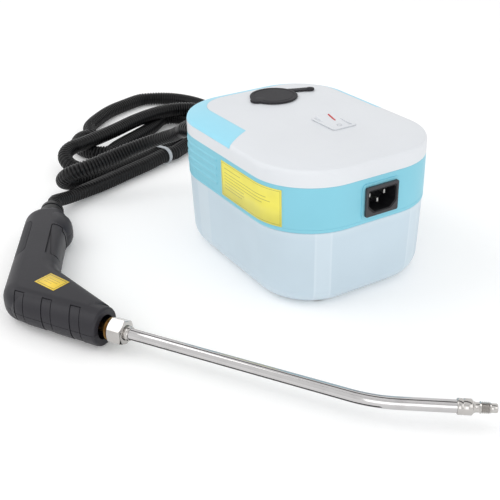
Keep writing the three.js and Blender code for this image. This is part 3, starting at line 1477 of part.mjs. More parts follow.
function makeCollar() {
  const size = collarSize;
  return turnToGrip(turned([
    [size.bore, -size.spigotStart],
    [size.spigotRadius, -size.spigotStart],
    [size.spigotRadius, -size.start],
    [size.radius, -size.start],
    [size.radius, -size.ringStart],
    [size.radius - size.ringDepth, -size.ringStart],
    [size.radius - size.ringDepth, -size.ringEnd],
    [size.radius, -size.ringEnd],
    [size.radius, -size.end],
    [size.bore, -size.end],
    [size.bore, -size.spigotStart],
  ], 14).rotateX(Math.PI / 2).translate(gripAxis, 0, 0));
}

const microTop = microSize.across + microSize.depth / 2;
function makeMicroswitch() {
  const halfLength = microSize.length / 2;
  const low = microSize.level - microSize.thickness / 2;
  const body = block([microSize.across - microSize.depth / 2, microSize.along - halfLength, low],
    [microTop, microSize.along + halfLength, low + microSize.thickness]);
  const hole = alongX(rod(microSize.plungerRadius + seatGap, microTop - microSize.plungerInside, microTop + overrun,
    0, 0, 12)).translate(0, microSize.along, microSize.level);
  return turnToGrip(cut(body, hole));
}

function makePlunger() {
  const backAtPlunger = triggerSize.back - microSize.triggerGap;
  return turnToGrip(alongX(rod(microSize.plungerRadius, microTop - microSize.plungerInside / 3, backAtPlunger, 0, 0, 12))
    .translate(0, microSize.along, microSize.level));
}

function makeHandsetPipe() {
  const start = [...onGrip(gripAxis, collarSize.spigotStart - seatGap), 0];
  const straight = [...onGrip(gripAxis, collarSize.spigotStart - handset.pommelRadius), 0];
  const lower = [...onGrip(handset.backLine, handset.pommelStart), pipeSize.level];
  const middle = [...onGrip(handset.backLine, triggerSize.recessStart), pipeSize.level];
  const heel = [handset.heelStart + handset.edgeRound, handset.edgeRound / 2, pipeSize.level];
  const straightUnion = [lanceSize.unionTailStart - handset.edgeRound, 0, 0];
  const end = [lanceSize.unionTailStart - seatGap, 0, 0];
  return pipe([start, straight, lower, middle, heel, straightUnion, end], pipeSize.radius, pipeSize.bore, 6, 2);
}

const shells = makeHandsetShells();
add('handset_shell_upper', shells.upper, darkPlastic, handsetGroup);
add('handset_shell_lower', shells.lower, darkPlastic, handsetGroup);
add('grip_pad', cut(common(handsetForm(0, 4), padPrism(0)), handsetForm(padSize.depth, 4)), padRubber, handsetGroup);
add('trigger', makeTrigger(), darkPlastic, handsetGroup);
const [pinX, pinY] = onGrip(triggerSize.pivotAcross, triggerSize.pivotAlong);
add('trigger_pin', rod(triggerSize.pinRadius, -triggerSize.pinReach, triggerSize.pinReach, pinX, pinY, 12), steel,
  handsetGroup);
const coilHalf = triggerSize.coilGap - seatGap;
add('trigger_spring', helix(triggerSize.coilRadius, triggerSize.coilWire, triggerSize.coilTurns, -coilHalf, coilHalf)
  .translate(pinX, pinY, 0), steel, handsetGroup);
add('microswitch', makeMicroswitch(), blackPlastic, handsetGroup);
add('switch_plunger', makePlunger(), whitePlastic, handsetGroup);
add('handset_steam_pipe', makeHandsetPipe(), clearTube, handsetGroup);
add('union_fitting', makeUnion(), brass, handsetGroup);
add('lance_nut', makeNut(), chrome, handsetGroup);
add('lance_sleeve', alongX(sleeve(lanceSize.sleeveRadius, lanceSize.radius + seatGap, lanceSize.nutEnd + seatGap,
  lanceSize.sleeveEnd, 14)), chrome, handsetGroup);
add('lance_tube', makeLance(), chrome, handsetGroup);
add('nozzle_fitting', makeNozzle(), chrome, handsetGroup);
add('hose_collar', makeCollar(), blackPlastic, handsetGroup);

// Ribbed hose: one route in three nodes.
function halfOval({ middle, half, depth, heights, steps }) {
  return Array.from({ length: steps + 1 }, (_, step) => {
    const share = step / steps;
    const angle = share * Math.PI;
    const blend = (1 - Math.cos(angle)) / 2;
    const height = share < 0.5
      ? heights[0] + (heights[1] - heights[0]) * blend * 2
      : heights[1] + (heights[2] - heights[1]) * (blend - 0.5) * 2;
    return [
      middle[0] + half[0] * Math.cos(angle) + depth[0] * Math.sin(angle),
      middle[1] + half[1] * Math.cos(angle) + depth[1] * Math.sin(angle),
      height,
    ];
  });
}

const vector = (values) => new THREE.Vector3(...values);
function gatePoints(gate, heading) {
  const direction = vector(heading).normalize();
  return [-gateGuide, -gateReach, gateReach, gateGuide]
    .map((distance) => vector(gate).addScaledVector(direction, distance).toArray());
}

const sleeveEnd = sleeveRoute.getPointAt(1);
const sleeveHeading = sleeveRoute.getTangentAt(1);
const collarMouth = handsetGroup.localToWorld(vector([...onGrip(gripAxis, collarSize.end + seatGap), 0]));
const collarHeading = handsetGroup.localToWorld(vector([...onGrip(gripAxis, collarSize.end + gateGuide), 0]))
  .sub(collarMouth).normalize();
const awayFrom = (point, heading, distance) => point.clone().addScaledVector(heading, distance).toArray();

const routePoints = [
  awayFrom(sleeveEnd, sleeveHeading, seatGap),
  awayFrom(sleeveEnd, sleeveHeading, gateReach),
  awayFrom(sleeveEnd, sleeveHeading, gateGuide),
  ...outletPoints,
  ...gatePoints(loopGate, loopGateHeading),
  ...halfOval(turns.first).slice(1),
  ...secondArm,
  ...halfOval(turns.second),
  ...thirdArm,
  ...halfOval(turns.third),
  ...fourthArm,
  ...halfOval(turns.fourth),
  ...fifthArm,
  ...halfOval(turns.fifth),
  ...sixthArm,
  ...halfOval(turns.sixth).slice(0, -1),
  ...gatePoints(handleGate, handleGateHeading),
  ...handleArm,
  awayFrom(collarMouth, collarHeading, gateGuide),
  awayFrom(collarMouth, collarHeading, gateReach),
  awayFrom(collarMouth, collarHeading, 0),
];
const hoseRoute = new THREE.CatmullRomCurve3(routePoints.map(vector), false, 'centripetal');
hoseRoute.arcLengthDivisions = 6000;
const hoseLength = hoseRoute.getLength();

function distanceTo(place) {
  const tests = 8000;
  let best = 0;
  let nearest = Infinity;
  for (let test = 0; test <= tests; test += 1) {
    const gap = hoseRoute.getPointAt(test / tests).distanceTo(vector(place));
    if (gap < nearest) {
      nearest = gap;
      best = test / tests;
    }
  }
  return best * hoseLength;
}

// One stretch of hose: ribs outside, a smooth bore inside, flat ring ends.
function ribbedTube(from, to) {
  const length = to - from;
  const ribs = Math.round(length / hoseSize.ribPitch);
  const pitch = length / ribs;
  const low = hoseSize.radius - hoseSize.groove;
  const stations = [[0, low]];
  for (let rib = 0; rib < ribs; rib += 1) {
    stations.push([(rib + 0.5) * pitch, hoseSize.radius], [(rib + 1) * pitch, low]);
  }
  // The bore gets a ring where a straight stretch would leave the hose's middle by more than its slack.
  const headingAt = (distance) => hoseRoute.getTangentAt((from + distance) / hoseLength);
  const boreStations = [0];
  for (let rib = 1; rib < ribs; rib += 1) {
    const last = boreStations.at(-1);
    const reach = (rib + 1) * pitch - last;
    if (reach * headingAt(last).angleTo(headingAt(last + reach)) / 8 > hoseSize.boreSlack) {
      boreStations.push(rib * pitch);
    }
  }
  boreStations.push(length);
  let side = new THREE.Vector3(0, 0, 1);
  const frameAt = (distance) => {
    const share = (from + distance) / hoseLength;
    const heading = hoseRoute.getTangentAt(share);
    const across = side.clone().addScaledVector(heading, -side.dot(heading)).normalize();
    return { point: hoseRoute.getPointAt(share), across, up: heading.clone().cross(across) };
  };
  const ringAt = (distance, radius) => {
    const frame = frameAt(distance);
    return Array.from({ length: hoseSides }, (_, k) => {
      const angle = (k + 0.5) / hoseSides * Math.PI * 2;
      return frame.point.clone().addScaledVector(frame.across, radius * Math.cos(angle))
        .addScaledVector(frame.up, radius * Math.sin(angle)).toArray();
    });
  };
  const outer = stations.map(([distance, radius]) => ringAt(distance, radius));
  const inner = boreStations.map((distance) => ringAt(distance, hoseSize.bore)).reverse();
  const rings = [...outer, ...inner];
  const faces = [];
  rings.forEach((_, ring) => {
    const next = (ring + 1) % rings.length;
    for (let k = 0; k < hoseSides; k += 1) {
      const after = (k + 1) % hoseSides;
      const [a, b] = [ring * hoseSides + k, ring * hoseSides + after];
      const [c, d] = [next * hoseSides + after, next * hoseSides + k];
      faces.push(a, b, c, a, c, d);
    }
  });
  const geometry = new THREE.BufferGeometry();
  geometry.setAttribute('position', new THREE.Float32BufferAttribute(rings.flat(2), 3));
  geometry.setIndex(faces);
  return geometry;
}

const gateDistances = [distanceTo(loopGate), distanceTo(handleGate)];
const halfGap = seatGap / 2;
add('hose_outlet_run', ribbedTube(0, gateDistances[0] - halfGap), blackPlastic);
add('hose_loops', ribbedTube(gateDistances[0] + halfGap, gateDistances[1] - halfGap), blackPlastic);
add('hose_handle_run', ribbedTube(gateDistances[1] + halfGap, hoseLength), blackPlastic);

function makeTie() {
  const stadium = (radius) => {
    const path = new THREE.Path();
    path.absarc(hoseSize.tieHalfSpan, 0, radius, -Math.PI / 2, Math.PI / 2);
    path.absarc(-hoseSize.tieHalfSpan, 0, radius, Math.PI / 2, Math.PI * 1.5);
    return path.getPoints(5);
  };
  const band = new THREE.Shape(stadium(hoseSize.tieRadius + hoseSize.tieThickness));
  band.holes.push(new THREE.Path(stadium(hoseSize.tieRadius).reverse()));
  return new THREE.ExtrudeGeometry(band, { depth: hoseSize.tieWidth, bevelEnabled: false })
    .translate(0, 0, -hoseSize.tieWidth / 2).rotateX(Math.PI / 2).rotateZ(radians(strandTurnDeg))
    .translate(hoseSize.tieX, hoseSize.tieY, hoseSize.tieHeight);
}
add('hose_tie', makeTie(), greyNylon);

// The hose's least gap to itself, between places more than a few diameters apart along it.
function leastGap() {
  const samples = Math.round(hoseLength / (hoseSize.radius / 2));
  const points = Array.from({ length: samples + 1 }, (_, index) => hoseRoute.getPointAt(index / samples));
  const apart = Math.ceil(samples * hoseSize.radius * 6 / hoseLength);
  let least = { gap: Infinity };
  for (let i = 0; i < points.length; i += 1) {
    for (let j = i + apart; j < points.length; j += 1) {
      const gap = points[i].distanceTo(points[j]) - hoseSize.radius * 2;
      if (gap < least.gap) {
        least = { gap, near: points[i], and: points[j] };
      }
    }
  }
  return least;
}
const least = leastGap();
console.log(`hose length ${hoseLength.toFixed(1)} mm, least gap to itself ${least.gap.toFixed(2)} mm`,
  `near ${least.near.toArray().map((value) => value.toFixed(0))} and`,
  `${least.and.toArray().map((value) => value.toFixed(0))}`);

export default model;
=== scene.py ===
import bisect
import math

import bmesh
import bpy
from mathutils import Matrix, Vector


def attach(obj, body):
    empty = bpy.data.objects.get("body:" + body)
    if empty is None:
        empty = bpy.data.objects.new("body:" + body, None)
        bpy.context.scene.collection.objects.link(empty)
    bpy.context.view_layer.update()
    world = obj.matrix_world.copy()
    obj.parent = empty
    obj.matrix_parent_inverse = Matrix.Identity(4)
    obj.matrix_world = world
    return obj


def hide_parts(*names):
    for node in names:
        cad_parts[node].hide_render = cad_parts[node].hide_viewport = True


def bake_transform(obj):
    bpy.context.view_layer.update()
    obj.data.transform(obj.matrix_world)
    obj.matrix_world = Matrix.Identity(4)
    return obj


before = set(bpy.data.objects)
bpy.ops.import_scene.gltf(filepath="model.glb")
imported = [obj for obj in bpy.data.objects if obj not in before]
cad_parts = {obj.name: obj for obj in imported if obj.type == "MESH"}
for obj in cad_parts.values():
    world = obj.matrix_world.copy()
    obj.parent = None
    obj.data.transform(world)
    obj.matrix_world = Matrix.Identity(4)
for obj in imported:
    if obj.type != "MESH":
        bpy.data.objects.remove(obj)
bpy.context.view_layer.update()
scene = bpy.context.scene
mm = 0.001  # pieces are modelled in millimetres and scaled once, when they are finished
print("frame loaded:", len(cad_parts), "nodes")


# Camera: its place in millimetres and its directions, solved from the outlines of the unit.
camera = {
    "place": (526.4, -361.1, 343.7),
    "right": (0.5176, 0.8553, -0.0234),
    "up": (-0.3972, 0.2644, 0.8788),
    "ahead": (-0.7578, 0.4456, -0.4766),
    "lens": 60.03,
}
cameraData = bpy.data.cameras.new("camera")
cameraData.lens = camera["lens"]
cameraData.sensor_width = 36
cameraData.clip_start, cameraData.clip_end = 0.01, 20
cameraObject = bpy.data.objects.new("camera", cameraData)
scene.collection.objects.link(cameraObject)
aim = Matrix((camera["right"], camera["up"], -Vector(camera["ahead"]))).transposed().to_4x4()
cameraObject.matrix_world = Matrix.Translation(Vector(camera["place"]) * mm) @ aim
scene.camera = cameraObject
scene.view_settings.view_transform = "Standard"


# Shader maths: a socket that can be written into an expression.
class Signal:
    def __init__(self, tree, socket):
        self.tree = tree
        self.socket = socket

    def maths(self, operation, *values):
        made = self.tree.nodes.new("ShaderNodeMath")
        made.operation = operation
        for entry, value in zip(made.inputs, values):
            if isinstance(value, Signal):
                self.tree.links.new(value.socket, entry)
            else:
                entry.default_value = value
        return Signal(self.tree, made.outputs[0])

    def __add__(self, other):
        return self.maths("ADD", self, other)

    def __radd__(self, other):
        return self.maths("ADD", other, self)

    def __sub__(self, other):
        return self.maths("SUBTRACT", self, other)

    def __rsub__(self, other):
        return self.maths("SUBTRACT", other, self)

    def __mul__(self, other):
        return self.maths("MULTIPLY", self, other)

    def __rmul__(self, other):
        return self.maths("MULTIPLY", other, self)

    def __gt__(self, other):
        return self.maths("GREATER_THAN", self, other)

    def __lt__(self, other):
        return self.maths("LESS_THAN", self, other)

    def size(self):
        return self.maths("ABSOLUTE", self)

    def most(self, other):
        return self.maths("MAXIMUM", self, other)


# A tree of shader nodes: one method makes any of them from its type, its settings and its inputs.
class Shading:
    def __init__(self, tree):
        self.tree = tree

    def node(self, kind, settings=None, inputs=None, output=0):
        made = self.tree.nodes.new(kind)
        for label, value in (settings or {}).items():
            setattr(made, label, value)
        for label, value in (inputs or {}).items():
            if isinstance(value, Signal):
                self.tree.links.new(value.socket, made.inputs[label])
            else:
                made.inputs[label].default_value = value
        return Signal(self.tree, made.outputs[output])


# A material under construction: a Principled shader, and whatever feeds it.
class Finish(Shading):
    def __init__(self, name, colour, roughness, constants=None):
        self.material = bpy.data.materials.new(name)
        self.material.use_nodes = True
        super().__init__(self.material.node_tree)
        self.shader = self.tree.nodes["Principled BSDF"]
        self.colour = colour
        self.shader.inputs["Base Color"].default_value = colour
        self.shader.inputs["Roughness"].default_value = roughness
        for label, value in (constants or {}).items():
            self.shader.inputs[label].default_value = value
        self.place = self.node("ShaderNodeTexCoord", output="Object")

    def feed(self, label, signal):
        self.tree.links.new(signal.socket, self.shader.inputs[label])

    def noise(self, scale, detail=2, roughness=0.5):
        inputs = {"Vector": self.place, "Scale": scale, "Detail": detail, "Roughness": roughness}
        return self.node("ShaderNodeTexNoise", inputs=inputs)

    def between(self, low, high, signal):  # 0 at low, 1 at high, eased
        return self.node("ShaderNodeMapRange", {"interpolation_type": "SMOOTHSTEP"},
                         {"Value": signal, "From Min": low, "From Max": high})

    def blend(self, first, second, amount):  # the Mix node's sockets for colours are 6 and 7, and 2 comes out
        return self.node("ShaderNodeMix", {"data_type": "RGBA"}, {0: amount, 6: first, 7: second}, output=2)

    def shade(self, amount, signal):  # the finish's own colour, made darker where the signal is high
        darker = tuple(part * (1 - amount) for part in self.colour[:3]) + (1,)
        return self.blend(self.colour, darker, signal)

    def bump(self, height, distance, strength=1.0):
        lifted = self.node("ShaderNodeBump", inputs={"Height": height, "Distance": distance * mm,
                                                     "Strength": strength})
        self.feed("Normal", lifted)

    def part(self, vector, label):  # one coordinate of a vector
        return self.node("ShaderNodeSeparateXYZ", inputs={"Vector": vector}, output=label)

    def axis(self, label):  # where the surface is, in millimetres
        return self.part(self.place, label) * (1 / mm)


def paint(red, green, blue):  # a colour as seen on screen, made linear
    def straight(value):
        value /= 255
        return value / 12.92 if value <= 0.04045 else ((value + 0.055) / 1.055) ** 2.4
    return straight(red), straight(green), straight(blue), 1


# Finishes.
def mouldedPlastic(name, colour, roughness, grain=0.02, grainSize=0.35, patch=0.05, coat=0.0, shine=0.5):
    made = Finish(name, colour, roughness,
                  {"Coat Weight": coat, "Coat Roughness": 0.25, "Specular IOR Level": shine})
    cloud = made.noise(22, 3)
    spots = made.noise(420)
    made.feed("Base Color", made.shade(patch, made.between(0.35, 0.75, cloud)))
    made.feed("Roughness", roughness - 0.05 + cloud * 0.07 + spots * 0.05)
    made.bump(made.noise(1000 / grainSize, 2, 0.6), grain, 0.6)
    return made


def metalFinish(name, colour, roughness, scratch=0.06, bumps=0.01):
    made = Finish(name, colour, roughness, {"Metallic": 1})
    lines = made.noise(900, 3, 0.6)
    stains = made.noise(60, 3)
    made.feed("Base Color", made.shade(0.12, made.between(0.45, 0.8, stains)))
    made.feed("Roughness", roughness + (lines - 0.5) * scratch + made.between(0.5, 0.8, stains) * 0.05)
    made.bump(lines, bumps, 0.5)
    return made


coverWhite = mouldedPlastic("cover white", paint(222, 225, 229), 0.42, patch=0.02)
bandBlue = mouldedPlastic("band blue", paint(131, 201, 219), 0.4, patch=0.03)
inlayBlue = mouldedPlastic("inlay blue", paint(152, 219, 240), 0.36, patch=0.02)
capRubber = mouldedPlastic("cap rubber", paint(42, 41, 45), 0.62, grain=0.03, grainSize=0.5, patch=0.15,
                           shine=0.3)
gripGrey = mouldedPlastic("grip grey", paint(42, 41, 46), 0.46, grain=0.03, grainSize=0.45, patch=0.08,
                          shine=0.3)
triggerGrey = mouldedPlastic("trigger grey", paint(40, 39, 44), 0.44, grainSize=0.4, patch=0.08, shine=0.3)
padBlack = mouldedPlastic("pad rubber", paint(42, 42, 46), 0.62, grain=0.05, grainSize=0.6, patch=0.12,
                          shine=0.3)
hoseBlack = mouldedPlastic("hose black", paint(12, 12, 14), 0.34, grain=0.01, grainSize=0.6, patch=0.2,
                           shine=0.28)
collarBlack = mouldedPlastic("collar black", paint(22, 22, 24), 0.4, patch=0.1, shine=0.35)
inletGrey = mouldedPlastic("inlet flange", paint(58, 57, 60), 0.45, patch=0.08, shine=0.35)
socketBlack = mouldedPlastic("socket black", paint(20, 20, 23), 0.5, patch=0.1, shine=0.3)
sealBlack = mouldedPlastic("seal rubber", paint(34, 34, 36), 0.7, grain=0.05, grainSize=0.6, patch=0.15,
                           shine=0.3)
nylonGrey = mouldedPlastic("tie nylon", paint(176, 181, 186), 0.45, patch=0.06)
markRed = mouldedPlastic("switch mark", paint(200, 66, 66), 0.45)
markGrey = mouldedPlastic("off mark", paint(205, 208, 212), 0.45)
tubeClear = mouldedPlastic("silicone tube", paint(222, 226, 226), 0.3, coat=0.3)
chromeBright = metalFinish("chrome", paint(197, 195, 195), 0.12, scratch=0.05, bumps=0.004)
nutChrome = metalFinish("nut chrome", paint(192, 189, 186), 0.17, scratch=0.08)
steelPlain = metalFinish("steel", paint(188, 190, 194), 0.3, scratch=0.1)
brassPlain = metalFinish("brass", paint(158, 126, 78), 0.32, scratch=0.1)
aluminiumCast = metalFinish("cast aluminium", paint(168, 171, 174), 0.52, scratch=0.15, bumps=0.06)


def windingFinish():
    made = Finish("coil winding", paint(60, 100, 150), 0.45)
    turns = made.node("ShaderNodeTexWave", {"bands_direction": "Z"},
                      {"Vector": made.place, "Scale": 500, "Distortion": 0.6, "Detail": 1})
    made.feed("Base Color", made.shade(0.35, turns))
    made.feed("Roughness", 0.35 + turns * 0.2)
    made.bump(turns, 0.2, 0.8)
    return made


def boardFinish():
    made = Finish("circuit board", paint(52, 112, 74), 0.42)
    pads = made.node("ShaderNodeTexVoronoi", inputs={"Vector": made.place, "Scale": 380}, output="Distance")
    dots = 1 - made.between(0.12, 0.2, pads)
    lacquer = made.shade(0.25, made.between(0.4, 0.7, made.noise(300)))
    made.feed("Base Color", made.blend(lacquer, paint(190, 190, 180), dots))
    made.feed("Metallic", dots * 0.8)
    made.bump(dots, 0.1, 0.6)
    return made


def stickerFinish(name, colour, size, rules):  # size and rules in millimetres, on the piece's own UV
    made = Finish(name, colour, 0.5, {"Coat Weight": 0.08, "Coat Roughness": 0.3})
    spot = made.node("ShaderNodeUVMap", {"uv_map": "sheet"})
    along = made.part(spot, "X") * size[0]
    up = made.part(spot, "Y") * size[1]
    inX = (along - size[0] / 2).size() - size[0] / 2
    inY = (up - size[1] / 2).size() - size[1] / 2
    edge = inX.most(inY)
    ink = ((edge + rules["inset"]).size() < rules["width"]) * rules["borderStrength"]
    for height, begin, end in rules["lines"]:
        line = ((up - height).size() < rules["lineWidth"]) * (along > begin) * (along < end)
        ink = ink + line * rules["lineStrength"]
    paper = made.shade(0.05, made.between(0.3, 0.8, made.noise(90)))
    made.feed("Base Color", made.blend(paper, paint(*rules["ink"]), ink))
    made.feed("Roughness", 0.42 + made.noise(300) * 0.08)
    made.bump(made.noise(1500), 0.01, 0.4)
    return made


coilWinding = windingFinish()
boardGreen = boardFinish()
print("finishes made:", len(bpy.data.materials))

cadFinishes = {
    coverWhite: ["deck_tray", "filler_neck", "suction_strainer", "thermal_fuse"],
    sealBlack: ["tank_gasket"],
    aluminiumCast: ["boiler_body", "boiler_cover"],
    steelPlain: ["heater", "thermostat_1", "thermostat_2", "pump_body", "pump_bracket", "pump_piston",
                 "pump_spring", "housing_screw_1", "housing_screw_2", "housing_screw_3", "housing_screw_4",
                 "trigger_pin", "trigger_spring"],
    brassPlain: ["safety_valve"],
    coilWinding: ["pump_coil"],
    tubeClear: ["feed_tube", "suction_tube", "steam_tube", "handset_steam_pipe"],
    boardGreen: ["control_board"],
    socketBlack: ["microswitch", "switch_plunger"],
}
for finish, names in cadFinishes.items():
    for name in names:
        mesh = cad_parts[name].data
        mesh.materials.clear()
        mesh.materials.append(finish.material)


# Modelling helpers, all in millimetres.
def moved(bm, matrix):
    bmesh.ops.transform(bm, matrix=matrix, verts=bm.verts)
    return bm


def tidied(bm):
    bmesh.ops.remove_doubles(bm, verts=bm.verts, dist=0.0005)
    bmesh.ops.recalc_face_normals(bm, faces=bm.faces)
    return bm


def only(kind, parts):  # the verts, edges or faces among what an operator gives back
    return [item for item in parts if isinstance(item, kind)]


def rounded(bm, parts, reach, segments, affect="EDGES"):
    bmesh.ops.bevel(bm, geom=parts, offset=reach, affect=affect, segments=segments, profile=0.5, material=-1)


def asObject(bm, name="rough"):
    mesh = bpy.data.meshes.new(name)
    bm.to_mesh(mesh)
    bm.free()
    made = bpy.data.objects.new(name, mesh)
    scene.collection.objects.link(made)
    return made


def combine(operation, first, *others):  # uses up what it is given; a copy keeps a mesh for later
    whole = asObject(first)
    tools = [asObject(other) for other in others]
    for tool in tools:
        step = whole.modifiers.new("step", "BOOLEAN")
        step.operation = operation
        step.solver = "MANIFOLD"
        step.object = tool
    result = bmesh.new()
    result.from_object(whole, bpy.context.evaluated_depsgraph_get())
    for item in (whole, *tools):
        bpy.data.meshes.remove(item.data)
    return result


# A flat face through these corners; rounds are (index, reach, segments).
def outline(corners, height=0.0, rounds=()):
    bm = bmesh.new()
    verts = [bm.verts.new((x, y, height)) for x, y in corners]
    bm.faces.new(verts)
    for index, reach, segments in rounds:
        rounded(bm, [verts[index]], reach, segments, "VERTICES")
    bmesh.ops.recalc_face_normals(bm, faces=bm.faces)
    bm.faces.ensure_lookup_table()
    if bm.faces[0].normal.z < 0:
        bmesh.ops.reverse_faces(bm, faces=bm.faces)
    return bm


def raised(bm, height):  # a flat face drawn up into a solid
    made = bmesh.ops.extrude_face_region(bm, geom=bm.faces[:])["geom"]
    bmesh.ops.translate(bm, verts=only(bmesh.types.BMVert, made), vec=(0, 0, height))
    return tidied(bm)


def prism(corners, low, high, rounds=()):
    return raised(outline(corners, low, rounds), high - low)


def boxCorners(low, high):
    return [(low[0], low[1]), (high[0], low[1]), (high[0], high[1]), (low[0], high[1])]


def plateCorners(length, width):
    return boxCorners((-length / 2, -width / 2), (length / 2, width / 2))


def plate(length, width, radius, low, high, segments=10):
    return prism(plateCorners(length, width), low, high, [(index, radius, segments) for index in range(4)])


def block(low, high):
    return prism(boxCorners(low, high), low[2], high[2])


def bar(halfLength, halfWidth, low, high):  # a block about the Z axis
    return block((-halfLength, -halfWidth, low), (halfLength, halfWidth, high))


def turned(profile, steps=48):  # (radius, height) pairs spun about Z; open ends off the axis are joined
    bm = bmesh.new()
    verts = [bm.verts.new((radius, 0, height)) for radius, height in profile]
    ends = list(zip(verts, verts[1:]))
    if profile[0][0] > 0 or profile[-1][0] > 0:
        ends.append((verts[-1], verts[0]))
    edges = [bm.edges.new(pair) for pair in ends]
    bmesh.ops.spin(bm, geom=verts + edges, cent=(0, 0, 0), axis=(0, 0, 1), angle=math.tau, steps=steps,
                   use_merge=True)
    return tidied(bm)


def quarter(radius, steps=6):  # (across, up) of a quarter round, from its side to its top
    angles = [math.radians(90 * step / steps) for step in range(steps + 1)]
    return [(radius * (1 - math.cos(angle)), radius * math.sin(angle)) for angle in angles]


def topEdge(radius, height, rounding, steps=4):  # the rounded upper edge of a turned form, side to top
    return [(radius - across, height - rounding + up) for across, up in quarter(rounding, steps)]


def lowEdge(radius, height, rounding, steps=4):  # its lower edge, from below to the side
    return [(radius - across, height + rounding - up) for across, up in reversed(quarter(rounding, steps))]


def drum(radius, low, high, rounding=0.0, steps=48):
    if rounding == 0:
        return turned([(0, low), (radius, low), (radius, high), (0, high)], steps)
    side = [*lowEdge(radius, low, rounding), *topEdge(radius, high, rounding)]
    return turned([(0, low), *side, (0, high)], steps)


def at(x, y, z=0.0):
    return Matrix.Translation((x, y, z))


def turn(degrees, axis):
    return Matrix.Rotation(math.radians(degrees), 4, axis)


alongX = turn(90, "Y")
alongY = turn(-90, "X")


# A smooth line through points, measured along its length; the roots of the gaps keep its bends even.
class Route:
    def __init__(self, points, perSpan=12):
        knots = [Vector(point) for point in points]
        knots = [knots[0] * 2 - knots[1], *knots, knots[-1] * 2 - knots[-2]]
        self.spots = []
        for before, here, there, after in zip(knots, knots[1:], knots[2:], knots[3:]):
            gaps = [(b - a).length ** 0.5 for a, b in ((before, here), (here, there), (there, after))]
            leave = ((here - before) / gaps[0] - (there - before) / (gaps[0] + gaps[1])
                     + (there - here) / gaps[1]) * gaps[1]
            arrive = ((there - here) / gaps[1] - (after - here) / (gaps[1] + gaps[2])
                      + (after - there) / gaps[2]) * gaps[1]
            for step in range(perSpan):
                share = step / perSpan
                self.spots.append(here + leave * share
                                  + (there * 3 - here * 3 - leave * 2 - arrive) * share ** 2
                                  + (here * 2 - there * 2 + leave + arrive) * share ** 3)
        self.spots.append(knots[-2])
        self.runs = [0.0]
        for a, b in zip(self.spots, self.spots[1:]):
            self.runs.append(self.runs[-1] + (b - a).length)
        self.length = self.runs[-1]

    def spot(self, along):
        along = min(max(along, 0), self.length)
        index = min(max(bisect.bisect_right(self.runs, along) - 1, 0), len(self.spots) - 2)
        share = (along - self.runs[index]) / (self.runs[index + 1] - self.runs[index])
        return self.spots[index].lerp(self.spots[index + 1], share)

    def heading(self, along):
        return (self.spot(along + 1) - self.spot(along - 1)).normalized()


def swept(route, stations, sides):  # stations are (distance along the route, radius)
    bm = bmesh.new()
    heading = route.heading(stations[0][0])
    facing = heading.to_track_quat("Z", "Y")
    frames = []
    for along, radius in stations:
        ahead = route.heading(along)
        facing = heading.rotation_difference(ahead) @ facing
        heading = ahead
        frames.append(Matrix.LocRotScale(route.spot(along), facing, Vector((radius, radius, 1))))
    made = bmesh.ops.create_circle(bm, cap_ends=True, radius=1, segments=sides, matrix=frames[0])
    edges = list({edge for vert in made["verts"] for edge in vert.link_edges})
    for before, after in zip(frames, frames[1:]):
        grown = bmesh.ops.extrude_edge_only(bm, edges=edges)["geom"]
        edges = only(bmesh.types.BMEdge, grown)
        bmesh.ops.transform(bm, matrix=after @ before.inverted(), verts=only(bmesh.types.BMVert, grown))
    bmesh.ops.contextual_create(bm, geom=edges)
    bmesh.ops.recalc_face_normals(bm, faces=bm.faces)
    return bm


def finishPiece(bm, name, finish, body="cleaner", stands=(), crease=35, bevel=0.0, thickness=0.0,
                weighted=False):
    bmesh.ops.scale(bm, vec=(mm, mm, mm), verts=bm.verts)
    made = asObject(bm, name)
    made.data.shade_smooth()
    made.data.set_sharp_from_angle(angle=math.radians(crease))
    made.data.materials.append(finish.material)
    if bevel > 0:
        rounder = made.modifiers.new("edge", "BEVEL")
        rounder.width = bevel * mm
        rounder.segments = 3
        rounder.limit_method = "ANGLE"
        rounder.angle_limit = math.radians(40)
        rounder.harden_normals = True
    if thickness > 0:
        backing = made.modifiers.new("thickness", "SOLIDIFY")
        backing.thickness = thickness * mm
        backing.offset = 1
    if weighted:
        evener = made.modifiers.new("normals", "WEIGHTED_NORMAL")
        evener.keep_sharp = True
    if body:
        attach(made, body)
    if stands:
        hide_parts(*stands)
    return made


def grid(columns=1, rows=1, size=1.0):
    bm = bmesh.new()
    bmesh.ops.create_grid(bm, x_segments=columns, y_segments=rows, size=size / 2)
    return bm


def stickerSheet(columns=1):  # one by one, with a UV map from corner to corner
    bm = grid(columns)
    sheetMap = bm.loops.layers.uv.new("sheet")
    for face in bm.faces:
        for loop in face.loops:
            loop[sheetMap].uv = (loop.vert.co.x + 0.5, loop.vert.co.y + 0.5)
    return bm


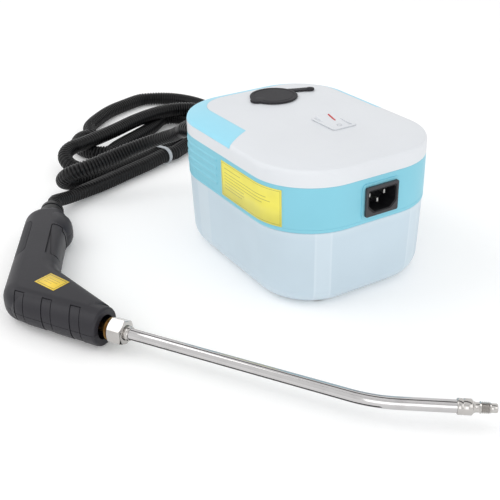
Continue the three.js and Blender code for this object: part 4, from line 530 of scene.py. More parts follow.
# Hose: one ribbed length from the gland to the grip's collar.
hose = {"length": 1.6575, "diameter": 0.013, "pitch": 3.3, "groove": 6.3, "endGroove": 5.6, "crest": 7.7,
        "endCrest": 6.4, "taper": 40, "lift": 1.2, "sides": 16}
hosePoints = [
    (-139.3, -40.2, 72.3), (-150.5, -40.9, 66.4), (-154, -41.1, 64.5), (-165, -45, 59.5), (-178, -54, 53),
    (-186.2, -64.6, 47.6), (-190.6, -74.5, 43.9), (-192.6, -86, 40.5), (-193, -102.6, 36.3),
    (-193, -106.5, 35.3), (-194.3, -121.2, 33), (-198, -129, 30), (-203.5, -134.2, 25.7),
    (-210, -136, 20.5), (-216.5, -134.2, 15.3), (-222, -129, 11), (-225.7, -121.2, 8), (-227, -112, 7),
    (-229, -95, 6.8), (-235, -70, 6.8), (-243.4, -43, 7.4), (-250.8, -19.7, 8.5), (-259.4, -1, 8.8),
    (-268, 12, 10.4), (-275.5, 24, 14), (-281, 36, 17.5), (-282.3, 46.2, 17.7), (-286.2, 55.4, 18.1),
    (-292.1, 62.7, 18.8), (-299.7, 67.4, 19.6), (-308, 69, 20.6), (-316.3, 67.4, 20.6),
    (-323.9, 62.7, 20.6), (-329.8, 55.4, 20.6), (-333.7, 46.2, 20.6), (-335, 36, 20.6), (-333, 18, 20.6),
    (-324, -9, 20.6), (-308, -41, 20.6), (-297, -66, 20.6), (-288, -90, 20.6), (-287, -97.1, 20.3),
    (-284.2, -103.5, 19.4), (-279.8, -108.6, 18.1), (-274.2, -111.9, 16.4), (-268, -113, 14.5),
    (-261.8, -111.9, 12.1), (-256.2, -108.6, 10), (-251.8, -103.5, 8.3), (-249, -97.1, 7.2),
    (-248, -90, 6.8), (-253.5, -72, 6.8), (-262, -52, 6.8), (-270, -30, 6.8), (-276.5, -10, 6.8),
    (-284, 10, 6.8), (-292, 36, 6.8), (-293.4, 44, 6.8), (-297.3, 51.3, 6.8), (-303.5, 57, 6.8),
    (-311.3, 60.7, 6.8), (-320, 62, 6.8), (-328.7, 60.7, 6.8), (-336.5, 57, 6.8), (-342.7, 51.3, 6.8),
    (-346.6, 44, 6.8), (-348, 36, 6.8), (-329, 14, 6.8), (-313, -11, 6.8), (-300, -34, 6.8),
    (-291, -48, 6.8), (-283, -58, 6.8), (-284.5, -65.1, 6.8), (-288.9, -71.5, 6.8), (-295.8, -76.6, 6.8),
    (-304.4, -79.9, 6.8), (-314, -81, 6.8), (-323.6, -79.9, 6.8), (-332.2, -76.6, 6.8),
    (-339.1, -71.5, 6.8), (-343.5, -65.1, 6.8), (-345, -58, 6.8), (-371, -47, 6.8), (-394, -25, 6.8),
    (-410, -4, 6.8), (-421, 20, 6.8), (-429, 45.5, 6.8), (-423.8, 61.3, 6.8), (-413.4, 75.5, 6.8),
    (-398.3, 87.1, 6.8), (-379.7, 95.4, 6.8), (-358.8, 99.8, 6.8), (-337, 100, 6.8), (-315.8, 95.9, 6.8),
    (-296.7, 87.9, 6.8), (-280.9, 76.5, 6.8), (-269.6, 62.5, 6.8), (-263.5, 46.8, 6.8),
    (-260.3, 28.2, 6.6), (-258.1, 24.9, 6.6), (-243.9, 3.1, 7.2), (-241.7, -0.2, 7.2),
    (-237.8, -14.1, 8.5), (-230, -36, 7.6), (-219, -69, 6.9), (-209, -96, 6.9), (-200, -120, 7.6),
    (-191, -140, 10.4), (-179.4, -157.1, 15), (-175.8, -158.8, 15), (-164.1, -164.4, 15)
]
for index in range(8, len(hosePoints) - 4):
    hosePoints[index] = (*hosePoints[index][:2], hosePoints[index][2] + hose["lift"])
hoseRoute = Route(hosePoints, perSpan=8)
ribCount = int(hoseRoute.length / hose["pitch"])
stations = []
for rib in range(ribCount):
    start = rib * hoseRoute.length / ribCount
    inland = min(start, hoseRoute.length - start) / hose["taper"]
    full = min(max(inland - 1, 0), 1)  # the end ribs fit their sockets
    crest = hose["endCrest"] + (hose["crest"] - hose["endCrest"]) * full
    groove = hose["endGroove"] + (hose["groove"] - hose["endGroove"]) * full
    stations += [(start, groove), (start + hose["pitch"] * 0.26, crest - 0.15),
                 (start + hose["pitch"] * 0.45, crest), (start + hose["pitch"] * 0.7, crest - 0.15)]
stations.append((hoseRoute.length, hose["endGroove"]))
hosePiece = finishPiece(swept(hoseRoute, stations, hose["sides"]), "ribbed_hose", hoseBlack,
                        stands=("hose_outlet_run", "hose_loops", "hose_handle_run"), crease=60)

tie = {"place": (-244.3, -16.9, 9.7), "turn": 23.6, "halfSpan": 7.1, "radius": 7.8, "thickness": 1.1,
       "width": 4.2}


def tieLoop(radius, halfWidth):
    return plate(2 * (tie["halfSpan"] + radius), 2 * radius, radius - 0.01, -halfWidth, halfWidth, 14)


tieRing = combine("DIFFERENCE", tieLoop(tie["radius"] + tie["thickness"], tie["width"] / 2),
                  tieLoop(tie["radius"], tie["width"]))
moved(tieRing, at(*tie["place"]) @ turn(tie["turn"], "Z") @ turn(90, "X"))
tiePiece = finishPiece(tieRing, "hose_tie_band", nylonGrey, stands=("hose_tie",), bevel=0.4)

print("hose:", ribCount, "ribs, length", round(hoseRoute.length, 1), "mm")


# Unit: tank, band, cover and inlay all follow one rounded plan.
unit = {"length": 192, "width": 148.5, "radius": 49.5, "cornerSteps": 16}
cornerX = unit["length"] / 2 - unit["radius"]  # the middles of the plan's corner arcs
cornerY = unit["width"] / 2 - unit["radius"]
unitEnd = unit["length"] / 2
beyond = 200  # past everything that a cut has to clear


def unitSolid(levels):  # levels are (height, inset from the plan)
    bm = outline(plateCorners(unit["length"], unit["width"]), 0,
                 [(index, unit["radius"], unit["cornerSteps"]) for index in range(4)])

    def settle(verts, height, inset):  # every point keeps its direction from its corner's middle
        for vert in verts:
            middle = Vector((math.copysign(cornerX, vert.co.x), math.copysign(cornerY, vert.co.y), height))
            out = Vector((vert.co.x - middle.x, vert.co.y - middle.y, 0)).normalized()
            vert.co = middle + out * (unit["radius"] - inset)

    settle(bm.verts, *levels[0])
    top = bm.faces[:]
    for step, (height, inset) in enumerate(levels[1:]):
        grown = bmesh.ops.extrude_face_region(bm, geom=top)["geom"]
        if step > 0:
            bmesh.ops.delete(bm, geom=top, context="FACES_ONLY")
        top = only(bmesh.types.BMFace, grown)
        settle(only(bmesh.types.BMVert, grown), height, inset)
    return tidied(bm)


def footLevels(low, inset, rounding, steps):  # the levels of a foot with a rounded edge, from below
    return [(low + rounding - up, inset + across) for across, up in reversed(quarter(rounding, steps))]


posts = {"x": 77, "y": 37, "radius": 6.5, "counterbore": 4.4, "depth": 10, "hole": 2.2, "below": 0.6}
postPlaces = [(x, y) for x in (-posts["x"], posts["x"]) for y in (-posts["y"], posts["y"])]
tank = {"top": 65.2, "topInset": 0.5, "bottomInset": 2, "edge": 18, "wall": 2.5, "floor": 3, "lip": 0.5,
        "lipInset": 0.4, "ledge": 3, "ledgeInset": 6.5}
tankTop, topInset = tank["top"], tank["topInset"]
wallLean = (tank["bottomInset"] - topInset) / (tankTop - tank["edge"])
tankOuter = unitSolid([
    *footLevels(0, tank["bottomInset"], tank["edge"], 12),
    (tankTop - tank["lip"], topInset + wallLean * tank["lip"]), (tankTop, topInset + tank["lipInset"]),
])
tankInner = unitSolid([
    *footLevels(tank["floor"], tank["bottomInset"] + tank["wall"], tank["edge"] - tank["wall"], 6),
    (tankTop - tank["ledge"], topInset + tank["wall"]),
    (tankTop - tank["ledge"], topInset + tank["ledgeInset"]), (tankTop + 1, topInset + tank["ledgeInset"]),
])
post = drum(posts["radius"], -1, tankTop - posts["below"], steps=32)
screwWay = turned([(0, -1), (posts["counterbore"], -1), (posts["counterbore"], posts["depth"]),
                   (posts["hole"], posts["depth"]), (posts["hole"], tankTop + 1), (0, tankTop + 1)], 32)
tankPosts = combine("UNION", *[moved(post.copy(), at(x, y)) for x, y in postPlaces])
tankPosts = combine("INTERSECT", tankPosts, tankOuter.copy())
tankShell = combine("UNION", combine("DIFFERENCE", tankOuter, tankInner), tankPosts)
tankShell = combine("DIFFERENCE", tankShell, *[moved(screwWay.copy(), at(x, y)) for x, y in postPlaces])
frost = {"colour": (196, 213, 224), "postTone": (214, 226, 234), "edgeTone": (214, 226, 233),
         "stripTone": (216, 226, 232), "postHalf": 6.6, "postFrom": (22, 26), "low": (2, 16), "high": (58, 65),
         "stripX": -37, "stripHalf": 9, "stripFront": -60}


def frostedFinish():  # paler at the posts, towards the floor and the top, and on one upright strip
    made = Finish("frosted tank", paint(*frost["colour"]), 0.4, {"Coat Weight": 0.15, "Coat Roughness": 0.3})
    cloud = made.noise(14, 3)
    fine = made.noise(700)
    outX = made.axis("X").size() - cornerX
    outY = made.axis("Y").size() - cornerY
    towards = Vector((posts["x"] - cornerX, posts["y"] - cornerY)).normalized()
    along = outX * towards.x + outY * towards.y
    across = (outY * towards.x - outX * towards.y).size()
    half = frost["postHalf"]
    onPost = (1 - made.between(half - 0.5, half + 0.5, across)) * made.between(*frost["postFrom"], along)
    rim = made.between(half - 2.2, half - 0.8, across) * onPost
    low = 1 - made.between(*frost["low"], made.axis("Z"))
    high = made.between(*frost["high"], made.axis("Z"))
    aside = (made.axis("X") - frost["stripX"]).size()
    strip = 1 - made.between(frost["stripHalf"] - 1, frost["stripHalf"] + 1, aside)
    tone = made.shade(0.07, made.between(0.3, 0.8, cloud))
    tone = made.blend(tone, paint(*frost["postTone"]), onPost * 0.28 + rim * 0.22)
    tone = made.blend(tone, paint(*frost["edgeTone"]), low * 0.4 + high * 0.25)
    tone = made.blend(tone, paint(*frost["stripTone"]), strip * (made.axis("Y") < frost["stripFront"]) * 0.3)
    made.feed("Base Color", tone)
    made.feed("Roughness", 0.36 + fine * 0.1)
    made.bump(made.noise(1600, 2, 0.6), 0.03, 0.5)
    return made


finishPiece(tankShell, "water_tank", frostedFinish(), stands=("tank",), weighted=True)
post.free()
screwWay.free()

band = {"low": 65.5, "high": 101.45, "rim": 2.6, "groove": 0.25, "wall": 2.5}
ribs = {"count": 4, "first": 75.5, "pitch": 6.4, "width": 3.2, "proud": 0.45, "endX": -10}
inlet = {"y": 4, "z": 83.3, "width": 29.8, "height": 23.5, "corner": 1.4, "face": 97.1, "thickness": 2,
         "cavityWidth": 24.5, "cavityHeight": 16.5, "cavityCut": 5, "cavityDepth": 15.5, "back": 78.6,
         "padProud": 0.8, "padMargin": 2.2, "holeMargin": 1.8, "liningWall": 1.1, "pin": (1.7, 3.4),
         "pinEnd": 92.5, "pinSlot": (1.3, 2.3)}
gland = {"y": -39, "z": 81, "radius": 6, "gap": 0.3, "flange": 9.5, "flangeEnd": -98.3, "flangeThickness": 2.5,
         "boss": 11, "bossEnd": -98, "bossStart": -82}
rimTop = band["low"] + band["rim"]
bandOuter = unitSolid([
    (band["low"], 0.5), (band["low"] + 0.15, 0.15), (band["low"] + 0.5, 0), (rimTop - 0.3, 0), (rimTop, 0.15),
    (rimTop, band["groove"]), (rimTop + 0.4, band["groove"]), (rimTop + 0.4, 0.15), (rimTop + 0.7, 0),
    (band["high"] - 0.1, 0), (band["high"], 0.1),
])
ribRings = []
for index in range(ribs["count"]):
    ribLow = ribs["first"] + index * ribs["pitch"] - ribs["width"] / 2
    ribHigh = ribLow + ribs["width"]
    crest = [(ribLow + ribs["width"] * share, -ribs["proud"] * math.sin(math.pi * share) ** 0.8)
             for share in [step / 10 for step in range(1, 10)]]
    bulge = unitSolid([(ribLow, 1), (ribLow, 0.02), *crest, (ribHigh, 0.02), (ribHigh, 1)])
    rearSide = block((-beyond, -beyond, 0), (ribs["endX"], beyond, beyond))
    ribRings.append(combine("INTERSECT", bulge, rearSide))
facingX = Matrix(((0, 0, 1, 0), (1, 0, 0, 0), (0, 1, 0, 0), (0, 0, 0, 1)))  # a plan in Y and Z, drawn along X
inletPlace = at(0, inlet["y"], inlet["z"]) @ facingX
glandPlace = at(0, gland["y"], gland["z"]) @ alongX
pad = plate(inlet["width"] + 2 * inlet["padMargin"], inlet["height"] + 2 * inlet["padMargin"],
            inlet["corner"] + inlet["padMargin"], unitEnd - band["wall"], unitEnd + inlet["padProud"])
boss = drum(gland["boss"], gland["bossEnd"], gland["bossStart"], 0.8)
inletHole = plate(inlet["cavityWidth"] + 2 * inlet["holeMargin"],
                  inlet["cavityHeight"] + 2 * inlet["holeMargin"], 0.5, unitEnd - 6, unitEnd + 3)
glandHole = drum(gland["radius"] + gland["gap"], -unitEnd - 4, gland["bossStart"] + 2, steps=32)
hollow = unitSolid([(band["low"] - 1, band["wall"]), (band["high"] + 1, band["wall"])])
bandShell = combine("UNION", bandOuter, *ribRings)
bandShell = combine("DIFFERENCE", bandShell, hollow)
bandShell = combine("UNION", bandShell, moved(pad, inletPlace), moved(boss, glandPlace))
bandShell = combine("DIFFERENCE", bandShell, moved(inletHole, inletPlace), moved(glandHole, glandPlace))
finishPiece(bandShell, "band_housing", bandBlue, stands=("band_shell",), weighted=True, crease=28)

cover = {"low": 101.5, "side": 9, "rise": 4.4, "shoulder": 2.3, "crown": 3.1, "crownInset": 22, "wall": 2.5,
         "hollow": ((109.2, 0), (112.4, 2.3), (115, 22)), "cuts": (100, 121)}
inlay = {"depth": 1.6, "low": 111.4, "innerY": 52.7, "farY": 68, "innerX": -85, "radius": 30, "endInner": 0.3,
         "endOuter": 12.3, "lowRound": 4, "tipRound": 2.5, "gap": 0.15}
switch = {"x": 24, "y": 13.5, "length": 31, "width": 22, "height": 0.8, "low": 118.3, "depth": 14, "gap": 0.3,
          "bodyHalf": (15.35, 9.9), "wellHalf": (13.95, 8.45), "wellDepth": 12.8, "bladeHalf": (0.4, 3.15),
          "bladeX": 7, "bladeDepth": (21, 13.4)}
cap = {"x": -56, "y": 9, "low": 118.3, "high": 120.1, "radius": 20.5, "opening": 17, "plug": 13.3,
       "plugEnd": 12.2, "plugInner": 9, "plugLength": 10, "eyeX": -53.8, "eyeY": 45, "eyeRadius": 3.9,
       "stud": 2, "studHead": 2.6, "studLength": 7.3, "studGap": 0.3, "nubX": -53.5, "nubY": -9,
       "nubRadius": 6, "strapX": -61, "strapY": 27, "strapWidth": 7.6}


def coverLevels():
    start = cover["low"] + cover["side"]
    shoulder = [(start + cover["rise"] * math.sin(math.radians(angle)),
                 cover["shoulder"] * (1 - math.cos(math.radians(angle)))) for angle in range(0, 91, 9)]
    crown = []
    for step in range(1, 13):
        share = step / 12
        crown.append((start + cover["rise"] + cover["crown"] * (1 - (1 - share) ** 2.2),
                      cover["shoulder"] + share * (cover["crownInset"] - cover["shoulder"])))
    return [(cover["low"], 0.1), (cover["low"] + 0.1, 0), *shoulder, *crown]


def coverSkin(depth):
    levels = [(height - depth, inset + depth) for height, inset in coverLevels()[1:]]
    return unitSolid([(cover["low"] - 4, depth), *levels])


def inlayTool(grow):  # everything behind the inlay's slanted ends and outside its inner edge
    straightY = 30
    lean = (inlay["endOuter"] - inlay["endInner"]) / (unit["width"] / 2 - inlay["innerY"])
    near, far = [inlay["endInner"] + lean * (y - inlay["innerY"]) + grow for y in (straightY, beyond)]
    area = prism([(-beyond, -beyond), (far, -beyond), (near, -straightY), (near, straightY), (far, beyond),
                  (-beyond, beyond)], inlay["low"] - grow, beyond)
    lowEnds = [e for e in area.edges if abs(e.verts[0].co.z - e.verts[1].co.z) < 0.01
               and e.verts[0].co.z < 115 and all(v.co.x > -50 for v in e.verts)
               and abs(abs(e.verts[0].co.y) - abs(e.verts[1].co.y)) > 1]
    rounded(area, lowEnds, inlay["lowRound"] + grow, 8)
    inside = plate(2 * beyond, inlay["innerY"] + inlay["farY"] - 2 * grow, inlay["radius"] - grow, 0,
                   beyond + 1, 20)
    moved(inside, at(inlay["innerX"] + grow + beyond, (inlay["farY"] - inlay["innerY"]) / 2))
    area = combine("DIFFERENCE", area, inside)
    tipX, tipY = near + lean * (inlay["innerY"] - grow - straightY), grow - inlay["innerY"]
    tips = [e for e in area.edges if abs(e.verts[0].co.z - e.verts[1].co.z) > 2
            and all(abs(v.co.x - tipX) < 1.5 and abs(v.co.y - tipY) < 0.5 for v in e.verts)]
    rounded(area, tips, inlay["tipRound"], 5)
    return tidied(area)


coverHollow = unitSolid([(cover["low"] - 1, cover["wall"]),
                         *[(height, cover["wall"] + inset) for height, inset in cover["hollow"]]])
recess = combine("DIFFERENCE", inlayTool(inlay["gap"]), coverSkin(inlay["depth"] + inlay["gap"]))
coverShell = combine(
    "DIFFERENCE", unitSolid(coverLevels()), coverHollow, recess,
    moved(drum(cap["opening"], *cover["cuts"]), at(cap["x"], cap["y"])),
    moved(drum(cap["stud"] + cap["studGap"], *cover["cuts"], steps=24), at(cap["eyeX"], cap["eyeY"])),
    moved(bar(*[half + switch["gap"] for half in switch["bodyHalf"]], *cover["cuts"]),
          at(switch["x"], switch["y"])),
)
finishPiece(coverShell, "cover_top", coverWhite, stands=("top_cover",), weighted=True, crease=30)
inlayBody = combine("INTERSECT", unitSolid(coverLevels()), inlayTool(0))
inlayBody = combine("DIFFERENCE", inlayBody, coverSkin(inlay["depth"]))
finishPiece(inlayBody, "blue_inlay", inlayBlue, stands=("cover_inlay",), weighted=True, crease=30)
print("unit: tank, band, cover and inlay made")


# Filler cap with its strap, and the strap's stud.
plugLow = cap["low"] - cap["plugLength"]
ring = [(17.9, 0), (17.6, 0.28), (17.1, 0.35), (16.6, 0.28), (16.3, 0.06), (9, 0.02), (0, 0)]  # radius, depth
capTurned = turned([
    (0, cap["low"] - 2), (cap["plugInner"], cap["low"] - 2), (cap["plugInner"], plugLow + 0.4),
    (cap["plugInner"] + 0.4, plugLow), (cap["plugEnd"] - 0.5, plugLow), (cap["plugEnd"], plugLow + 0.5),
    (cap["plug"] - 0.4, cap["low"] - 3), (cap["plug"], cap["low"] - 2.6), (cap["plug"], cap["low"]),
    *lowEdge(cap["radius"], cap["low"], 0.5, 3), *topEdge(cap["radius"], cap["high"], 0.7, 5),
    *[(radius, cap["high"] - depth) for radius, depth in ring],
], 72)
nub = drum(cap["nubRadius"], cap["low"], cap["high"] - 0.02, 0.6, 40)
capBody = combine("UNION", moved(capTurned, at(cap["x"], cap["y"])), moved(nub, at(cap["nubX"], cap["nubY"])))
finishPiece(capBody, "filler_cap_disc", capRubber, body="filler_cap", stands=("filler_cap",))

eye = drum(cap["eyeRadius"], cap["low"], cap["high"], 0.5, 40)
studLow = cap["low"] - cap["studLength"]
stud = turned([(0, studLow), (cap["stud"] - 0.4, studLow), (cap["stud"], studLow + 0.4),
               (cap["stud"], cap["high"] - 0.1), (cap["studHead"] - 0.2, cap["high"] - 0.1),
               (cap["studHead"], cap["high"] + 0.1), (cap["studHead"] - 0.15, cap["high"] + 0.3),
               (cap["studHead"] - 1, cap["high"] + 0.5), (0, cap["high"] + 0.55)], 32)
finishPiece(moved(combine("UNION", eye, stud), at(cap["eyeX"], cap["eyeY"])), "strap_eye", capRubber,
            stands=("cap_strap_anchor",))

strap = {"low": cap["low"] + 0.1, "high": cap["high"] - 0.15, "startY": cap["strapY"] - 1.6,
         "endY": cap["eyeY"] - 1.5, "waist": 0.16, "bend": (37.5, 43), "middle": 119.2}
lean = (cap["eyeX"] - cap["strapX"]) / (cap["eyeY"] - cap["strapY"])
strapBody = grid(4, 28)
for vert in strapBody.verts:
    share = vert.co.y + 0.5
    y = strap["startY"] + share * (strap["endY"] - strap["startY"])
    width = cap["strapWidth"] * (1 - strap["waist"] * math.sin(math.pi * share))
    vert.co = (cap["strapX"] + lean * (y - cap["strapY"]) + vert.co.x * width, y, strap["low"])
grown = bmesh.ops.extrude_face_region(strapBody, geom=strapBody.faces[:])["geom"]
bmesh.ops.translate(strapBody, verts=only(bmesh.types.BMVert, grown), vec=(0, 0, strap["high"] - strap["low"]))
bmesh.ops.recalc_face_normals(strapBody, faces=strapBody.faces)
strapPiece = finishPiece(strapBody, "cap_strap", capRubber, body=None, bevel=0.35)
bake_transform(strapPiece)

# Rocker switch.
bezel = plate(switch["length"], switch["width"], 2.4, switch["low"], switch["low"] + switch["height"], 6)
body = bar(*switch["bodyHalf"], switch["low"] - switch["depth"], switch["low"] + 0.6)
well = bar(*switch["wellHalf"], switch["low"] - switch["wellDepth"], switch["low"] + 5)
bladeLow, bladeHigh = [switch["low"] - depth for depth in switch["bladeDepth"]]
blades = [moved(bar(*switch["bladeHalf"], bladeLow, bladeHigh), at(x, 0))
          for x in (-switch["bladeX"], switch["bladeX"])]
frameBody = combine("DIFFERENCE", combine("UNION", bezel, body), well)
frameBody = combine("UNION", frameBody, *blades)
finishPiece(moved(frameBody, at(switch["x"], switch["y"])), "switch_bezel", coverWhite,
            stands=("switch_frame",), bevel=0.45)

rocker = {"tilt": 8, "radius": 13.75, "rise": 1.7, "drop": 5.7, "half": 8.3, "pivot": 116.8, "slopeRun": 13,
          "edgeAngles": (13, 11, 9, 4, -1, -6, -11, -15, -19)}
rockerPlace = at(switch["x"], switch["y"], rocker["pivot"]) @ turn(rocker["tilt"], "Y")


def rockerEdge(side):
    angles = [math.radians(angle) for angle in rocker["edgeAngles"]]
    return [(side * rocker["radius"] * math.cos(angle), rocker["radius"] * math.sin(angle)) for angle in angles]


rockerSide = [(0, rocker["rise"]), *rockerEdge(1), (0, -rocker["drop"]), *reversed(rockerEdge(-1))]
rockerBody = moved(prism(rockerSide, -rocker["half"], rocker["half"], [(0, 5, 8)]), turn(90, "X"))
finishPiece(moved(rockerBody, rockerPlace), "rocker", coverWhite, body="rocker_button",
            stands=("rocker_button",), bevel=0.5)
slope = math.atan2(rockerEdge(1)[0][1] - rocker["rise"], rocker["slopeRun"])
for name, finish, x, y, mark in (
    ("switch_on_mark", markRed, -6.2, 2.4, plate(10, 1.4, 0.4, 0, 0.3, 4)),
    ("switch_off_mark", markGrey, 7.4, 0, turned([(1.7, 0), (2.2, 0), (2.2, 0.25), (1.7, 0.25)], 32)),
):
    lift = rocker["rise"] + abs(x) * math.tan(slope) - 0.02
    markPlace = rockerPlace @ at(x, y, lift) @ turn(math.copysign(math.degrees(slope), -x), "Y")
    finishPiece(moved(mark, markPlace), name, finish, body="rocker_button")


# Mains inlet.
def socketForm(margin, low, high):  # the socket's plan, two of its corners cut away, drawn from low to high
    width, height = inlet["cavityWidth"] / 2 + margin, inlet["cavityHeight"] / 2 + margin
    cut = inlet["cavityCut"]
    plan = [(-width + cut, -height), (width - cut, -height), (width, -height + cut), (width, height),
            (-width, height), (-width, -height + cut)]
    return prism(plan, low, high, [(index, 1.6 if index in (3, 4) else 1.2, 5) for index in range(6)])


pinPlaces = {"live_pin": (-7, 2), "neutral_pin": (7, 2), "earth_pin": (0.7, -3.4)}
faceEnd = inlet["face"] + inlet["thickness"]
flange = plate(inlet["width"], inlet["height"], inlet["corner"], inlet["face"], faceEnd, 8)
flangeBody = combine("DIFFERENCE", flange, socketForm(inlet["liningWall"], inlet["face"] - 7, faceEnd + 2))
cavity = socketForm(0, faceEnd - inlet["cavityDepth"], faceEnd + 2)
lining = socketForm(inlet["liningWall"], inlet["back"], faceEnd - 0.25)
slots = [moved(bar(*inlet["pinSlot"], inlet["back"] - 8, inlet["face"]), at(y, z))
         for y, z in pinPlaces.values()]
finishPiece(moved(combine("DIFFERENCE", lining, cavity, *slots), inletPlace), "inlet_lining", socketBlack,
            stands=("inlet_socket",), bevel=0.2)
finishPiece(moved(flangeBody, inletPlace), "inlet_flange", inletGrey, bevel=0.3)
pinFinish = metalFinish("pin nickel", paint(205, 205, 202), 0.3)
for name, (y, z) in pinPlaces.items():
    pin = plate(*inlet["pin"], 0.5, inlet["back"] - 7, inlet["pinEnd"], 4)
    finishPiece(moved(pin, inletPlace @ at(y, z)), name + "_blade", pinFinish, stands=(name,),
                bevel=0.4)
print("cap, switch and inlet made")

# Sticker on the band: plain rules only.
sticker = {"startX": -2, "endAngle": 31.7, "low": 68.9, "high": 98.2, "out": 0.12, "thickness": 0.12}
straight = cornerX - sticker["startX"]
sheetLength = straight + unit["radius"] * math.radians(sticker["endAngle"])
sheetHeight = sticker["high"] - sticker["low"]
reach = unit["radius"] + sticker["out"]
stickerBody = stickerSheet(40)
for vert in stickerBody.verts:
    past = (vert.co.x + 0.5) * sheetLength - straight
    angle = max(past, 0) / unit["radius"]
    vert.co = (cornerX + min(past, 0) + math.sin(angle) * reach, -cornerY - math.cos(angle) * reach,
               sticker["low"] + (vert.co.y + 0.5) * sheetHeight)
bmesh.ops.recalc_face_normals(stickerBody, faces=stickerBody.faces)
if sum(face.normal.y for face in stickerBody.faces) > 0:
    bmesh.ops.reverse_faces(stickerBody, faces=stickerBody.faces)
bandSticker = stickerFinish("band sticker", paint(236, 226, 92), (sheetLength, sheetHeight), {
    "inset": 1.3, "width": 0.22, "borderStrength": 0.55, "lineWidth": 0.28, "lineStrength": 0.6,
    "ink": (120, 116, 60),
    "lines": [(24.2, 5, 29), (20.6, 5, 62), (18, 5, 66), (15.4, 5, 58), (12.8, 5, 34), (10.2, 5, 34),
              (7.6, 5, 31)],
})
finishPiece(stickerBody, "band_sticker", bandSticker, crease=60, thickness=sticker["thickness"])

# Handset: a slab with fully rounded edges, a round barrel, a pommel and a hose boss.
handset = {"place": (54.3, -193.1, 15), "turn": 32.4, "tilt": 32, "half": 14.7, "edge": 12, "wall": 2.4,
           "steps": 8, "seam": 0.15, "pivot": (-67, 145), "pinHole": 2.3, "pinReach": 13.4, "seatRadius": 5,
           "seatStart": 9.6, "seatEnd": 13.2, "hoseX": -68.5, "hoseHole": 7.3}
barrel = {"mouth": -11, "lip": 2.2, "lipDrop": 1.8, "mouthRadius": 9.2, "radius": 14.6, "heelRadius": 13.5,
          "heelStart": -77, "heelReach": 17}
pommel = {"x": -68, "y": 162, "radius": 22, "buttRadius": 10.8, "buttStart": 165, "buttEnd": 191}
gripTurn = turn(handset["tilt"], "Z")
handPlace = at(*handset["place"]) @ turn(handset["turn"], "Z")
hoseAxis = gripTurn @ at(handset["hoseX"], 0) @ alongY
pivot = gripTurn @ at(*handset["pivot"])


def onGrip(across, along):
    spot = gripTurn @ Vector((across, along, 0))
    return spot.x, spot.y


silhouette = [(-14, -10), (-14, 14), onGrip(-50, 81.5), onGrip(-50, 152), onGrip(-54, 191), onGrip(-88, 191),
              (-97.5, -10)]
silhouetteRounds = [(2, 7, 8), (4, 11.2, 10), (5, 19, 12), (6, 11.1, 12)]


def slabForm(depth):
    bm = outline(silhouette, 0, silhouetteRounds)
    if depth > 0:
        rings = bmesh.ops.inset_region(bm, faces=bm.faces[:], thickness=depth, use_even_offset=True,
                                       use_boundary=True)
        bmesh.ops.delete(bm, geom=rings["faces"], context="FACES")
    flat = bm.faces[:]
    grown = bmesh.ops.extrude_face_region(bm, geom=flat)["geom"]
    bmesh.ops.delete(bm, geom=flat, context="FACES_ONLY")
    top = only(bmesh.types.BMFace, grown)[0]
    bmesh.ops.translate(bm, verts=top.verts, vec=(0, 0, handset["half"] - handset["edge"]))
    edge = quarter(handset["edge"] - depth, handset["steps"])
    for (across, up), (nextAcross, nextUp) in zip(edge, edge[1:]):
        bmesh.ops.inset_region(bm, faces=[top], thickness=nextAcross - across, use_even_offset=True)
        bmesh.ops.translate(bm, verts=top.verts, vec=(0, 0, nextUp - up))
    bmesh.ops.mirror(bm, geom=bm.verts[:] + bm.edges[:] + bm.faces[:], matrix=Matrix.Identity(4),
                     merge_dist=0.01, axis="Z")
    return tidied(bm)


def barrelForm(depth):
    angles = [math.radians(angle) for angle in range(10, 91, 10)]
    heelRadius, heelReach = barrel["heelRadius"] - depth, barrel["heelReach"] - depth
    heel = [(heelRadius * math.sin(angle), barrel["heelStart"] - heelReach * math.cos(angle))
            for angle in angles]
    full = barrel["radius"] - depth
    lipStart = barrel["mouth"] - barrel["lip"]
    if depth > 0:
        front = [(full, lipStart), (barrel["mouthRadius"], lipStart), (barrel["mouthRadius"], 1), (0, 1)]
    else:
        lip = [(full - barrel["lipDrop"] * (1 - math.cos(angle)), lipStart + barrel["lip"] * math.sin(angle))
               for angle in map(math.radians, (25, 50, 70, 90))]
        front = [(full, lipStart), *lip, (0, barrel["mouth"])]
    return moved(turned([(0, barrel["heelStart"] - heelReach), *heel, *front], 64), alongX)


def pommelForm(depth):
    radius, half = pommel["radius"] - depth, handset["half"] - 0.05 - depth
    rounding = handset["edge"] - depth
    drumShape = turned([(0, -half), *lowEdge(radius, -half, rounding, 6), *topEdge(radius, half, rounding, 6),
                        (0, half)], 72)
    outer = combine("INTERSECT", drumShape, block((-2, -beyond, -beyond), (beyond, beyond, beyond)))
    return moved(outer, gripTurn @ at(pommel["x"], pommel["y"]))


def handsetForm(depth):
    butt = drum(pommel["buttRadius"] - depth, pommel["buttStart"], pommel["buttEnd"] - depth, 3, 40)
    return combine("UNION", slabForm(depth), barrelForm(depth), pommelForm(depth), moved(butt, hoseAxis))


def gripPrism(corners, half, rounds=()):
    return moved(prism(corners, -half, half, rounds), gripTurn)


def triggerRoom(grow):
    return gripPrism([(-61 - grow, 97.4 - grow), (-36, 97.4 - grow), (-36, 139 + grow),
                      (-52 + grow / 2, 145 + grow), (-52 - grow, 150 + grow), (-61 - grow, 150 + grow)],
                     beyond, [(0, 2, 5), (5, 2, 5)])


def padRoom(grow):
    return gripPrism(boxCorners((-116, 101 - grow), (-78 + grow, 160 + grow)), beyond, [(1, 8, 8), (2, 8, 8)])


